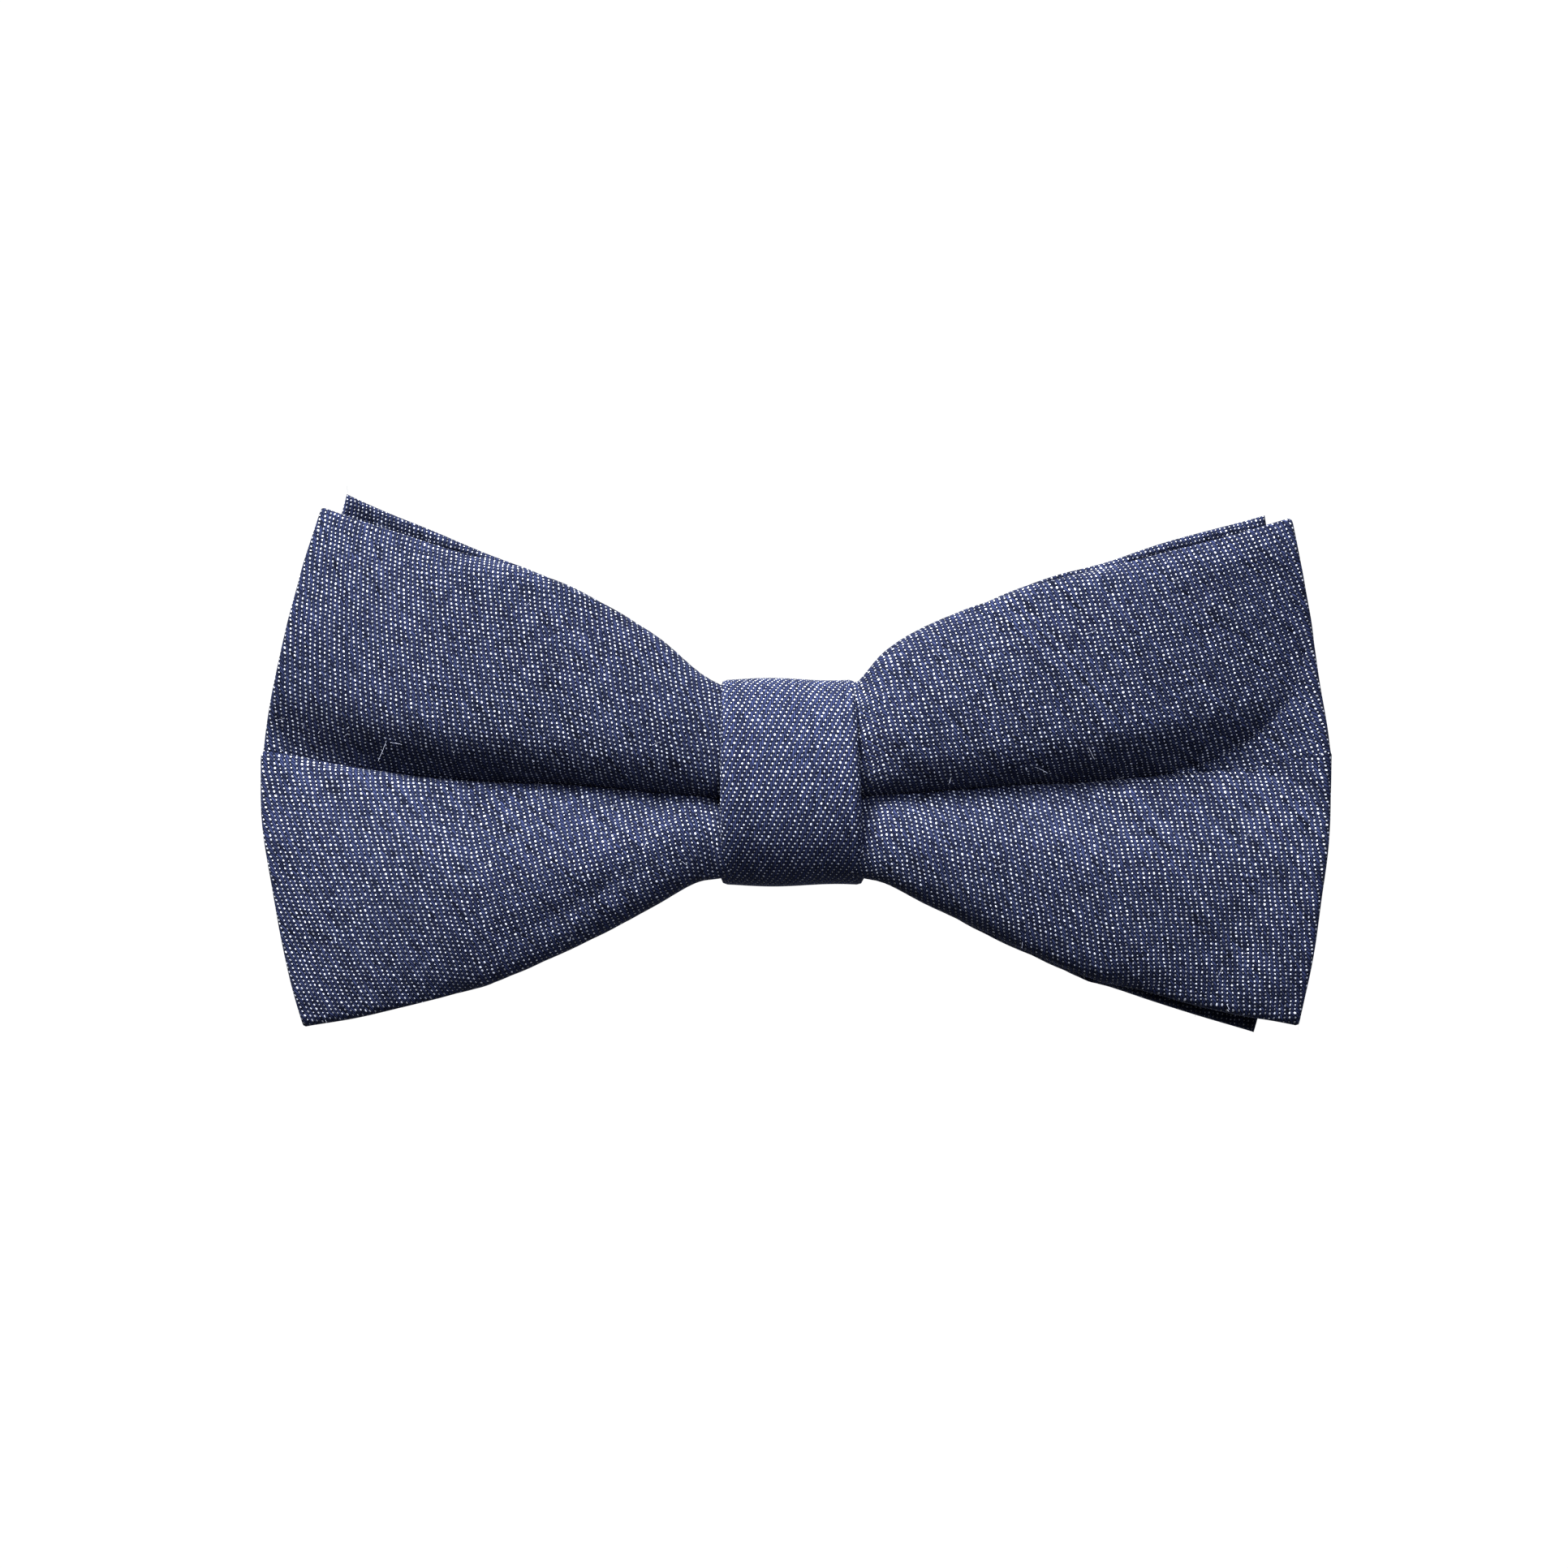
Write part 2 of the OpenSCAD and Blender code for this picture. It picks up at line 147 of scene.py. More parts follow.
class StageSettings(bpy.types.PropertyGroup):
    """Floor, lights and camera."""

    floor_drop: bpy.props.FloatProperty(
        name="Floor drop", description="Depth of the floor below the clip",
        default=0.3, unit="LENGTH", subtype="DISTANCE")
    floor_radius: bpy.props.FloatProperty(
        name="Floor radius", description="Radius of the round floor",
        default=1.1, unit="LENGTH", subtype="DISTANCE")
    view_width: bpy.props.FloatProperty(
        name="View width", description="Width that the camera sees at the bow",
        default=0.1755, unit="LENGTH", subtype="DISTANCE")
    lens: bpy.props.FloatProperty(name="Lens", description="Focal length in millimetres", default=100.0)


class BowTieSettings(bpy.types.PropertyGroup):
    """All settings of the bow tie."""

    sizes: bpy.props.PointerProperty(type=BowSizes)
    cloth: bpy.props.PointerProperty(type=ClothSettings)
    stage: bpy.props.PointerProperty(type=StageSettings)


# ---------------------------------------------------------------- materials


def linear(hex_colour):
    """sRGB hex value to a linear colour with alpha."""
    shares = [int(hex_colour[i:i + 2], 16) / 255 for i in (1, 3, 5)]
    return (*[c / 12.92 if c <= 0.04045 else ((c + 0.055) / 1.055) ** 2.4 for c in shares], 1.0)


def add_node(owner, kind, settings=None, inputs=None):
    """Adds a node to a material or world, sets its properties, and sets or links its inputs."""
    node = owner.node_tree.nodes.new(kind)
    for name, value in (settings or {}).items():
        setattr(node, name, value)
    for name, value in (inputs or {}).items():
        if isinstance(value, bpy.types.NodeSocket):
            owner.node_tree.links.new(value, node.inputs[name])
        else:
            node.inputs[name].default_value = value
    return node


def emptied(owner):
    """A material or world with nothing in its node tree."""
    owner.use_nodes = True
    owner.node_tree.nodes.clear()
    return owner


def finish_material(material, colour, relief, inputs):
    """Adds what each finish ends in: a colour between two, by a share; a relief, by its height,
    strength and depth in metres; and the shader, with the rest of its own sockets."""
    mixed = add_node(material, "ShaderNodeMix", {"data_type": "RGBA"}, dict(zip((0, 6, 7), colour)))
    bump = add_node(material, "ShaderNodeBump", {}, dict(zip(("Height", "Strength", "Distance"), relief)))
    shader = add_node(material, "ShaderNodeBsdfPrincipled", {},
                      {"Base Color": mixed.outputs[2], "Normal": bump.outputs[0], **inputs})
    add_node(material, "ShaderNodeOutputMaterial", {}, {"Surface": shader.outputs[0]})
    return material


def denim_material(name, grain, end_mm, pick_mm, painted_light_lift=0.0):
    """Cotton denim in a 2/1 right-hand twill: indigo warp floats over two white weft yarns, then
    dips under one, which shows as a dot. Matt, with a little fibre sheen. Yarns are drawn at their
    real spacing from the cloth's own UV map, which is in millimetres of flat cloth."""
    cloth = bpy.context.scene.bow_tie.cloth
    material = emptied(bpy.data.materials.new(name))
    flat = add_node(material, "ShaderNodeUVMap", {"uv_map": "cloth"}).outputs[0]
    # Uneven weaving: each place on the cloth is shifted by up to 0.35 mm
    uneven = add_node(material, "ShaderNodeTexNoise", {"noise_dimensions": "2D"},
                      {"Vector": flat, "Scale": 0.7, "Detail": 2.0})
    shift = add_node(material, "ShaderNodeVectorMath", {"operation": "MULTIPLY_ADD"},
                     {0: uneven.outputs["Color"], 1: (0.35, 0.35, 0.0), 2: flat})
    yarn = add_node(material, "ShaderNodeMapping", {"vector_type": "TEXTURE"}, {
        "Vector": shift.outputs[0], "Rotation": (0.0, 0.0, grain), "Scale": (end_mm, pick_mm, 1.0)})
    count = add_node(material, "ShaderNodeSeparateXYZ", {}, {0: yarn.outputs[0]})

    # Each float has its own fatness, dye and brightness of dot, and each yarn its own dye
    float_id = add_node(material, "ShaderNodeCombineXYZ")
    float_chance = add_node(material, "ShaderNodeTexWhiteNoise", {"noise_dimensions": "2D"},
                            {"Vector": float_id.outputs[0]})
    odds = add_node(material, "ShaderNodeSeparateColor", {}, {0: float_chance.outputs["Color"]})
    yarn_chance = add_node(material, "ShaderNodeTexWhiteNoise", {"noise_dimensions": "1D"})
    # Dye also runs in streaks along the warp, and in mottles a few millimetres across
    streak_map = add_node(material, "ShaderNodeMapping", {},
                          {"Vector": yarn.outputs[0], "Scale": (0.35, 0.02, 1.0)})
    streak = add_node(material, "ShaderNodeTexNoise", {"noise_dimensions": "2D"},
                      {"Vector": streak_map.outputs[0], "Scale": 1.0, "Detail": 3.0, "Roughness": 0.6})
    mottle = add_node(material, "ShaderNodeTexNoise", {"noise_dimensions": "2D"},
                      {"Vector": flat, "Scale": 0.4, "Detail": 4.0, "Roughness": 0.7})
    # The dot's soft rim, from its distance in radii
    dot = add_node(material, "ShaderNodeMapRange", {"interpolation_type": "SMOOTHSTEP"},
                   {"From Min": 1.25, "From Max": 0.7, "To Min": 0.0, "To Max": 1.0})

    known = {"ends": count.outputs[0], "picks": count.outputs[1], "fatness": odds.outputs[0],
             "float_dye": odds.outputs[1], "brightness": odds.outputs[2],
             "yarn_dye": yarn_chance.outputs["Value"], "streak": streak.outputs["Fac"],
             "mottle": mottle.outputs["Fac"], "dot": dot.outputs[0]}
    # Sums: the result's name, the operation and what it works on
    for result, operation, *operands in (
        # One cell of the twill is three picks of one warp yarn, a step higher on each next yarn
        ("end", "FLOOR", "ends"),
        ("end_share", "FRACT", "ends"),
        ("across", "SUBTRACT", "end_share", 0.5),
        ("climb", "SUBTRACT", "picks", "end"),
        ("along", "FLOORED_MODULO", "climb", 3.0),
        ("cells", "DIVIDE", "climb", 3.0),
        ("cell", "FLOOR", "cells"),
        # The white dot of weft in the first pick, round, and the distance from it in radii
        ("dot_x", "MULTIPLY", "across", end_mm),
        ("from_dot", "SUBTRACT", "along", 0.5),
        ("dot_y", "MULTIPLY", "from_dot", pick_mm * 0.8),
        ("dot_xx", "MULTIPLY", "dot_x", "dot_x"),
        ("dot_yy", "MULTIPLY", "dot_y", "dot_y"),
        ("dot_square", "ADD", "dot_xx", "dot_yy"),
        ("dot_distance", "SQRT", "dot_square"),
        ("dot_radius", "MULTIPLY_ADD", "fatness", 0.045, 0.062),
        ("dot_far", "DIVIDE", "dot_distance", "dot_radius"),
        # The warp float: an oval two picks long, and how high it stands
        ("float_x", "MULTIPLY", "across", 2.0),
        ("from_float", "SUBTRACT", "along", 2.0),
        ("float_y", "MULTIPLY", "from_float", 0.8),
        ("float_xx", "MULTIPLY", "float_x", "float_x"),
        ("float_yy", "MULTIPLY", "float_y", "float_y"),
        ("float_far", "ADD", "float_xx", "float_yy"),
        ("inside", "SUBTRACT", 1.0, "float_far"),
        ("inside", "MAXIMUM", "inside", 0.0),
        ("crown", "SQRT", "inside"),
        # Painted shade: each float is painted darker towards its sides, down to the gap colour
        ("lit", "MULTIPLY_ADD", "crown", 1.25, -0.2),
        # How light the warp's dye is
        ("dye", "MULTIPLY", "float_dye", 0.25),
        ("dye", "MULTIPLY_ADD", "yarn_dye", 0.3, "dye"),
        ("streaks", "MULTIPLY_ADD", "streak", 0.65, -0.22),
        ("dye", "ADD", "dye", "streaks"),
        # Painted light: a lift above 0 paints the dye and the weft's dots lighter all over the cloth
        ("mottles", "MULTIPLY_ADD", "mottle", 0.7, painted_light_lift - 0.35),
        ("dye", "ADD", "dye", "mottles"),
        # How much of the weft's white a dot shows
        ("white", "POWER", "brightness", 1.5),
        ("white", "MULTIPLY_ADD", "white", 0.75, 0.27 + painted_light_lift),
        ("white", "MULTIPLY", "dot", "white"),
        ("worn", "MULTIPLY_ADD", "mottle", 0.5, 0.8),
        ("white", "MULTIPLY", "white", "worn"),
        ("dot_height", "MULTIPLY", "dot", 0.75),
        ("height", "MAXIMUM", "crown", "dot_height"),
    ):
        inputs = {i: known.get(operand, operand) for i, operand in enumerate(operands)}
        known[result] = add_node(material, "ShaderNodeMath", {"operation": operation}, inputs).outputs[0]
    for result, socket in (("end", float_id.inputs[0]), ("cell", float_id.inputs[1]),
                           ("end", yarn_chance.inputs["W"]), ("dot_far", dot.inputs["Value"])):
        material.node_tree.links.new(known[result], socket)

    warp = add_node(material, "ShaderNodeMix", {"data_type": "RGBA"},
                    {0: known["dye"], 6: linear(cloth.warp_dark), 7: linear(cloth.warp_light)})
    # Painted shade: the warp's colour, darkened towards the gap colour by the painted float shading
    shaded = add_node(material, "ShaderNodeMix", {"data_type": "RGBA"},
                      {0: known["lit"], 6: linear(cloth.gap), 7: warp.outputs[2]})
    return finish_material(
        material, (known["white"], shaded.outputs[2], linear(cloth.weft)), (known["height"], 0.55, 0.00012),
        {"Roughness": 0.86, "IOR": 1.5, "Specular IOR Level": 0.04, "Sheen Weight": 0.02,
         "Sheen Roughness": 0.5, "Sheen Tint": linear("#9aa6cf")})


def fibre_material(name, hex_light, hex_dark, scale, depth):
    """Matt non-woven sheet or loose cotton: a tangle of short fibres, so uneven and without gloss.
    The tangles are 1.1 mm across at a scale of 900, and 0.25 mm at 4000."""
    material = emptied(bpy.data.materials.new(name))
    place = add_node(material, "ShaderNodeTexCoord").outputs["Object"]
    tangle = add_node(material, "ShaderNodeTexNoise", {}, {"Vector": place, "Scale": scale, "Detail": 5.0})
    return finish_material(material, (tangle.outputs["Fac"], linear(hex_dark), linear(hex_light)),
                           (tangle.outputs["Fac"], 0.5, depth), {"Roughness": 0.92, "Sheen Weight": 0.2})


def thread_material():
    """Polyester sewing thread: dark navy, twisted from fine filaments, with a slight silky gloss.
    The twist is drawn at 0.4 mm a turn."""
    material = emptied(bpy.data.materials.new("polyester_thread"))
    place = add_node(material, "ShaderNodeTexCoord").outputs["Object"]
    turned = add_node(material, "ShaderNodeMapping", {}, {"Vector": place, "Rotation": (0.5, 0.3, 0.8)})
    twist = add_node(material, "ShaderNodeTexWave", {"wave_type": "BANDS"},
                     {"Vector": turned.outputs[0], "Scale": 800.0, "Distortion": 1.0})
    return finish_material(material, (twist.outputs["Fac"], linear("#0a0e1e"), linear("#232c4d")),
                           (twist.outputs["Fac"], 0.4, 0.00005), {"Roughness": 0.45, "Sheen Weight": 0.15})


def metal_material(name, hex_light, hex_dark, roughness, grain_scale, stretch):
    """Bare or plated metal: its colour is in its reflections, which fine rolling or drawing marks
    blur along one direction, and handling leaves duller patches 3 mm across. The marks are 2 mm
    apart at a grain scale of 500."""
    material = emptied(bpy.data.materials.new(name))
    place = add_node(material, "ShaderNodeTexCoord").outputs["Object"]
    drawn = add_node(material, "ShaderNodeMapping", {}, {"Vector": place, "Scale": stretch})
    marks = add_node(material, "ShaderNodeTexNoise", {},
                     {"Vector": drawn.outputs[0], "Scale": grain_scale, "Detail": 4.0, "Roughness": 0.7})
    patches = add_node(material, "ShaderNodeTexNoise", {}, {"Vector": place, "Scale": 350.0, "Detail": 3.0})
    rough = add_node(material, "ShaderNodeMapRange", {},
                     {"Value": patches.outputs["Fac"], "From Min": 0.3, "From Max": 0.7,
                      "To Min": roughness * 0.7, "To Max": roughness * 1.5})
    return finish_material(material, (patches.outputs["Fac"], linear(hex_dark), linear(hex_light)),
                           (marks.outputs["Fac"], 0.12, 0.00003),
                           {"Metallic": 1.0, "Roughness": rough.outputs[0]})


def rubber_material():
    """Dip-moulded PVC sleeve: black, satin, with a faint orange-peel skin 0.5 mm across."""
    material = emptied(bpy.data.materials.new("dipped_pvc"))
    place = add_node(material, "ShaderNodeTexCoord").outputs["Object"]
    peel = add_node(material, "ShaderNodeTexNoise", {}, {"Vector": place, "Scale": 2000.0, "Detail": 2.0})
    dust = add_node(material, "ShaderNodeTexNoise", {}, {"Vector": place, "Scale": 420.0, "Detail": 4.0})
    rough = add_node(material, "ShaderNodeMapRange", {},
                     {"Value": dust.outputs["Fac"], "To Min": 0.38, "To Max": 0.62})
    return finish_material(material, (dust.outputs["Fac"], linear("#141416"), linear("#2c2c30")),
                           (peel.outputs["Fac"], 0.25, 0.00004), {"Roughness": rough.outputs[0], "IOR": 1.53})


# ---------------------------------------------------------------- shapes


def cubic(x, gap, start, end, start_slope, end_slope):
    """Cubic piece over a gap, at a distance x from its start, with the slopes at its two ends."""
    t = x / gap
    return ((2 * t ** 3 - 3 * t ** 2 + 1) * start + (t ** 3 - 2 * t ** 2 + t) * gap * start_slope
            + (3 * t ** 2 - 2 * t ** 3) * end + (t ** 3 - t ** 2) * gap * end_slope)


def through(places, values, x):
    """Smooth curve through given values: cubic pieces whose slopes follow the neighbours."""
    places, values = np.array(places, float), np.array(values, float)
    slopes = np.gradient(values, places)
    i = np.clip(np.searchsorted(places, x, side="right") - 1, 0, len(places) - 2)
    return cubic(x - places[i], places[i + 1] - places[i], values[i], values[i + 1], slopes[i], slopes[i + 1])


def fold_steps(t, share_of_fold):
    """Even steps from 0 to 1, closer together round the folded edge at either end."""
    near = np.minimum(t, 1 - t)
    bend = share_of_fold * (1 - np.cos(np.clip(near / EDGE_SHARE, 0, 1) * np.pi / 2))
    straight = share_of_fold + (near - EDGE_SHARE) / (1 - 2 * EDGE_SHARE) * (1 - 2 * share_of_fold)
    at = np.where(near < EDGE_SHARE, bend, straight)
    return np.where(t > 0.5, 1 - at, at)


def fold_height(distance, radius):
    """Share of the full thickness at a distance from a folded edge of that radius."""
    return np.sqrt(1 - (1 - np.clip(distance / radius, 0, 1)) ** 2)


def cloth_across(points, q, on_face, line, split):
    """Length of cloth round each section of a tube, for a grid of points by place along and round.
    The yarns along the cloth run parallel to the given line, and the lengths start from split at
    the ends."""
    run = np.cumsum(np.linalg.norm(np.diff(points, axis=1, prepend=points[:, :1]), axis=2), axis=1)
    at_line = np.array([np.interp(line, q[on_face], row[on_face]) for row in run])
    at_split = np.array([np.interp(split, q[on_face], row[on_face]) for row in run])
    start = np.mean((at_line - at_split)[[0, -1]])
    return run - at_line[:, None] + start


def flat_tube(name, surface, length, width, thickness, steps, seam_depth=0.0, lines=(0.5, 0.5), split=0.5):
    """A flattened, closed cloth tube with rounded folds on all four sides. surface(a, q) gives its
    middle in millimetres, a along its length and q across it, both from 0 to 1. thickness may be a
    number or a function of a. A groove as deep as seam_depth runs along the middle of its back.
    Its UV map is the flat cloth, in millimetres, cut along that seam; below and above split its
    yarns run parallel to the two given lines."""
    thick_at = thickness if callable(thickness) else lambda a: thickness + 0 * a
    sheet = bmesh.new()
    bmesh.ops.create_grid(sheet, x_segments=steps[0], y_segments=2 * steps[1], size=1.0)
    grid = np.array([v.co for v in sheet.verts])
    radius = 0.5 * float(np.max(thick_at(np.linspace(0, 1, 9))))
    a = fold_steps(np.clip((grid[:, 0] + 1) / 2, 0, 1), radius / length)
    around = grid[:, 1]
    face = np.abs(around) <= 0.5 + 1e-6
    t = np.where(face, around + 0.5, np.where(around > 0, 1.5 - around, -0.5 - around))
    q = fold_steps(np.clip(t, 0, 1), radius / width)
    step = 1e-3
    along = surface(np.clip(a + step, 0, 1), q) - surface(np.clip(a - step, 0, 1), q)
    across = surface(a, np.clip(q + step, 0, 1)) - surface(a, np.clip(q - step, 0, 1))
    normal = np.cross(along, across)
    normal /= np.maximum(np.linalg.norm(normal, axis=1), 1e-9)[:, None]
    height = thick_at(a) / 2 * fold_height(np.minimum(a, 1 - a) * length, radius)
    height = height * fold_height(np.minimum(q, 1 - q) * width, radius)
    seam = np.exp(-((np.abs(around) - 1) * width * 2 / SEAM_REACH) ** 2)
    height = np.where(face, height, -height + seam_depth * seam)
    points = surface(a, q) + normal * height[:, None]
    for vert, point in zip(sheet.verts, points):
        vert.co = point * MM
    flat = sheet.loops.layers.uv.new("cloth")
    sections = np.lexsort((around, np.round(grid[:, 0], 5))).reshape(-1, 2 * steps[1] + 1)
    from_end = np.clip(np.minimum(a, 1 - a) * length / radius, 0, 1)
    round_end = radius * (np.pi / 2 - 1 - np.arccos(1 - from_end) + from_end)
    along_cloth = (a - 0.5) * length + np.sign(a - 0.5) * round_end
    places = []
    for line in lines:
        across_cloth = np.zeros(len(grid))
        across_cloth[sections] = cloth_across(points[sections], q[sections[0]], face[sections[0]],
                                              line, split)
        places.append(np.stack([along_cloth, across_cloth], 1))
    for polygon in sheet.faces:
        indices = [vert.index for vert in polygon.verts]
        turn = np.mean(around[indices])
        upper = turn > 0 if abs(turn) > 0.5 else np.mean(q[indices]) > split
        for loop in polygon.loops:
            loop[flat].uv = places[upper][loop.vert.index]
    bmesh.ops.remove_doubles(sheet, verts=sheet.verts, dist=1e-6)
    bmesh.ops.dissolve_degenerate(sheet, edges=sheet.edges, dist=1e-7)
    bmesh.ops.recalc_face_normals(sheet, faces=sheet.faces)
    return new_piece(name, sheet)


def linked(name, data):
    """A new object in the scene."""
    piece = bpy.data.objects.new(name, data)
    bpy.context.scene.collection.objects.link(piece)
    return piece


def new_piece(name, shape):
    """A smooth-shaded object from a bmesh."""
    mesh = bpy.data.meshes.new(name)
    shape.to_mesh(mesh)
    shape.free()
    mesh.shade_smooth()
    return linked(name, mesh)


def tube_along(name, lines, radius, sides=2):
    """Round strands along lines of points in millimetres, as one mesh."""
    curve = bpy.data.curves.new(name, "CURVE")
    curve.dimensions = "3D"
    curve.bevel_depth = radius * MM
    curve.bevel_resolution = sides
    curve.use_fill_caps = True
    for line in lines:
        spline = curve.splines.new("POLY")
        spline.points.add(len(line) - 1)
        for point, place in zip(spline.points, line):
            point.co = (*[c * MM for c in place], 1.0)
    rope = linked(name + "_line", curve)
    bpy.context.view_layer.update()
    mesh = bpy.data.meshes.new_from_object(rope.evaluated_get(bpy.context.evaluated_depsgraph_get()))
    bpy.data.objects.remove(rope)
    bpy.data.curves.remove(curve)
    mesh.name = name
    mesh.shade_smooth()
    return linked(name, mesh)


def finish_piece(piece, material, body, slot, *nodes):
    """Gives a piece its material, its body and the CAD nodes that it stands for. Its slot is not used."""
    piece.data.materials.clear()
    piece.data.materials.append(material)
    if body:
        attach(piece, body)
    if nodes:
        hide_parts(*nodes)


# Stations along a wing, from where it enters the knot to its outer edge, in mm from the middle:
# a few for its folds, more for its outline
STATIONS = (7.9, 14.0, 26.0, 40.0, 57.0)
OUTLINE_STATIONS = (7.9, 11.0, 16.0, 24.0, 34.0, 45.0, 57.0)
WAIST_X, EDGE_X = STATIONS[0], STATIONS[-1]
WAIST_PINCH = 0.1  # how much closer together the cloth lies in the middle of the knot
EDGE_BLEND = 20.0  # distance from its outer edge over which a layer takes on its own depth, in mm
LEAST_DEPTH = 0.75  # nearest that a layer's middle comes to the other layer, in mm
BULGE_POWERS = (1.5, 1.25)  # roundness of the outer edge below and above its middle
LAYERS = {"front": (1.0, -1), "back": (0.72, 1)}  # depth as a share, and the way a layer faces along Y
PLEAT_AT = 0.525  # where the pleat's floor lies across the flat cloth
GRAIN_LINES = (0.15, 0.73)  # lines of the cloth below and above the pleat that its yarns follow

# The folds of a layer, as lines that run along the bow. Each has its place across the flat cloth,
# its height at the five stations as a share of the way from the pleat's floor to the wing's upper
# or lower side, and its depth towards the viewer there in mm. Where a share falls again past 1,
# the cloth is rolled back behind the wing's side.
FOLDS = (
    (0.000, (-0.15, -0.62, -0.84, -1.00, -1.00), (0.9, 0.9, 2.5, 3.9, 2.3)),
    (0.080, (-0.55, -0.94, -1.00, -0.91, -0.85), (0.9, 2.4, 4.6, 5.0, 2.7)),
    (0.160, (-0.93, -1.00, -0.87, -0.77, -0.70), (2.2, 4.5, 6.1, 5.8, 2.9)),
    (0.200, (-1.00, -0.93, -0.77, -0.69, -0.62), (3.4, 5.3, 6.5, 6.1, 3.0)),
    (0.250, (-0.90, -0.80, -0.64, -0.58, -0.52), (4.3, 5.9, 6.8, 6.3, 3.0)),
    (0.340, (-0.55, -0.50, -0.40, -0.37, -0.35), (4.9, 6.2, 6.6, 6.0, 2.8)),
    (0.430, (-0.26, -0.23, -0.17, -0.16, -0.18), (3.8, 4.7, 5.1, 4.5, 2.0)),
    (0.460, (-0.17, -0.14, -0.09, -0.085, -0.11), (3.2, 4.1, 4.5, 4.0, 1.7)),
    (0.487, (-0.06, -0.05, -0.02, -0.015, -0.03), (2.5, 3.3, 3.7, 3.3, 1.3)),
    (PLEAT_AT, (0.0, 0.0, 0.0, 0.0, 0.0), (0.8, 0.7, 0.6, 0.7, 0.8)),
    (0.570, (0.03, 0.04, 0.07, 0.08, 0.10), (2.7, 3.0, 3.0, 2.6, 1.1)),
    (0.610, (0.09, 0.09, 0.13, 0.165, 0.18), (4.6, 5.2, 5.5, 5.0, 1.9)),
    (0.650, (0.22, 0.20, 0.21, 0.24, 0.26), (5.2, 6.4, 6.8, 6.3, 2.8)),
    (0.730, (0.56, 0.48, 0.44, 0.41, 0.43), (5.1, 6.9, 7.4, 6.9, 3.4)),
    (0.800, (0.88, 0.75, 0.65, 0.60, 0.58), (3.8, 6.2, 7.2, 6.9, 3.4)),
    (0.845, (1.00, 0.90, 0.77, 0.72, 0.67), (2.6, 5.2, 6.9, 6.8, 3.3)),
    (0.885, (0.96, 1.00, 0.87, 0.81, 0.76), (1.4, 3.8, 6.4, 6.5, 3.1)),
    (0.945, (0.65, 0.98, 1.00, 0.93, 0.88), (0.9, 1.9, 5.3, 5.9, 2.7)),
    (1.000, (0.25, 0.78, 0.96, 1.00, 1.00), (0.9, 1.0, 3.6, 4.6, 2.0)),
)

# Heights of each wing's upper side, pleat and lower side at the outline's stations, then the reach
# of its upper corner, of its lower corner and of the bulge between them, in mm about the middle
WINGS = {
    ("front", -1): ((9.9, 11.6, 15.8, 20.4, 23.7, 26.9, 30.5), (-1.3, -1.2, -1.1, -1.0, -0.7, 0.5, 3.3),
                    (-9.8, -10.3, -13.1, -17.3, -21.5, -24.8, -27.1), 52.5, 54.5, 59.3),
    ("front", 1): ((10.5, 13.9, 16.9, 19.8, 22.8, 25.9, 29.2), (-1.3, -1.2, -1.1, -1.0, -0.6, 0.7, 3.5),
                   (-9.8, -10.5, -13.1, -16.9, -21.0, -24.4, -27.0), 55.8, 56.6, 60.4),
    ("back", -1): ((9.7, 11.4, 15.5, 20.4, 24.6, 28.6, 32.6), (-0.3, -0.2, 0.0, 0.4, 1.0, 1.8, 3.0),
                   (-9.6, -10.1, -12.8, -16.9, -21.1, -24.3, -26.4), 50.3, 53.0, 58.9),
    ("back", 1): ((10.2, 13.5, 16.5, 20.5, 23.8, 27.3, 30.2), (-0.3, -0.2, 0.0, 0.4, 1.0, 1.8, 3.0),
                  (-9.8, -10.5, -13.2, -17.3, -21.5, -25.2, -28.3), 53.5, 52.3, 58.3),
}

# Soft dents and ridges that handling has left: layer, place along and height in mm, reach along
# and across the crease, its lean, and its height towards the viewer
CREASES = (
    ("front", 51.0, -13.5, 6.0, 2.3, 0.75, -0.3),
    ("front", 50.5, -24.0, 7.0, 2.6, 0.75, 0.4),
    ("front", 36.0, -9.5, 10.0, 2.6, -0.25, 0.35),
    ("front", -24.0, -13.5, 9.0, 1.6, 0.5, -0.45),
    ("front", -15.0, 12.0, 4.0, 1.6, -0.6, -0.5),
    ("front", -46.0, 22.0, 9.0, 4.0, -0.3, -0.35),
    ("front", 15.0, 7.5, 6.0, 2.2, 0.5, 0.3),
    ("front", 50.0, 25.5, 8.0, 2.4, 0.28, 0.4),
    ("front", 62.0, 11.0, 20.0, 14.0, 0.0, -3.2),
    ("back", -38.0, 10.0, 12.0, 3.0, -0.4, 0.6),
    ("back", 30.0, -12.0, 11.0, 2.8, 0.5, -0.5),
)


def along_wing(stations, rows, at):
    """Smooth curve through one value for each station."""
    slopes = [(rows[1] - rows[0]) / (stations[1] - stations[0]) * 0.8]
    for i in range(1, len(stations)):
        after = min(i + 1, len(stations) - 1)
        slopes.append((rows[after] - rows[i - 1]) / (stations[after] - stations[i - 1]))
    value = rows[0] + 0 * at
    for i in range(len(stations) - 1):
        piece = cubic(at - stations[i], stations[i + 1] - stations[i],
                      rows[i], rows[i + 1], slopes[i], slopes[i + 1])
        value = np.where(at >= stations[i], piece, value)
    return value


def folds_at(column, q, at):
    """Height shares (column 1) or depths (column 2) of the folds."""
    places = [fold[0] for fold in FOLDS]
    rows = [through(places, [fold[column][k] for fold in FOLDS], q) for k in range(len(STATIONS))]
    return along_wing(STATIONS, rows, at)


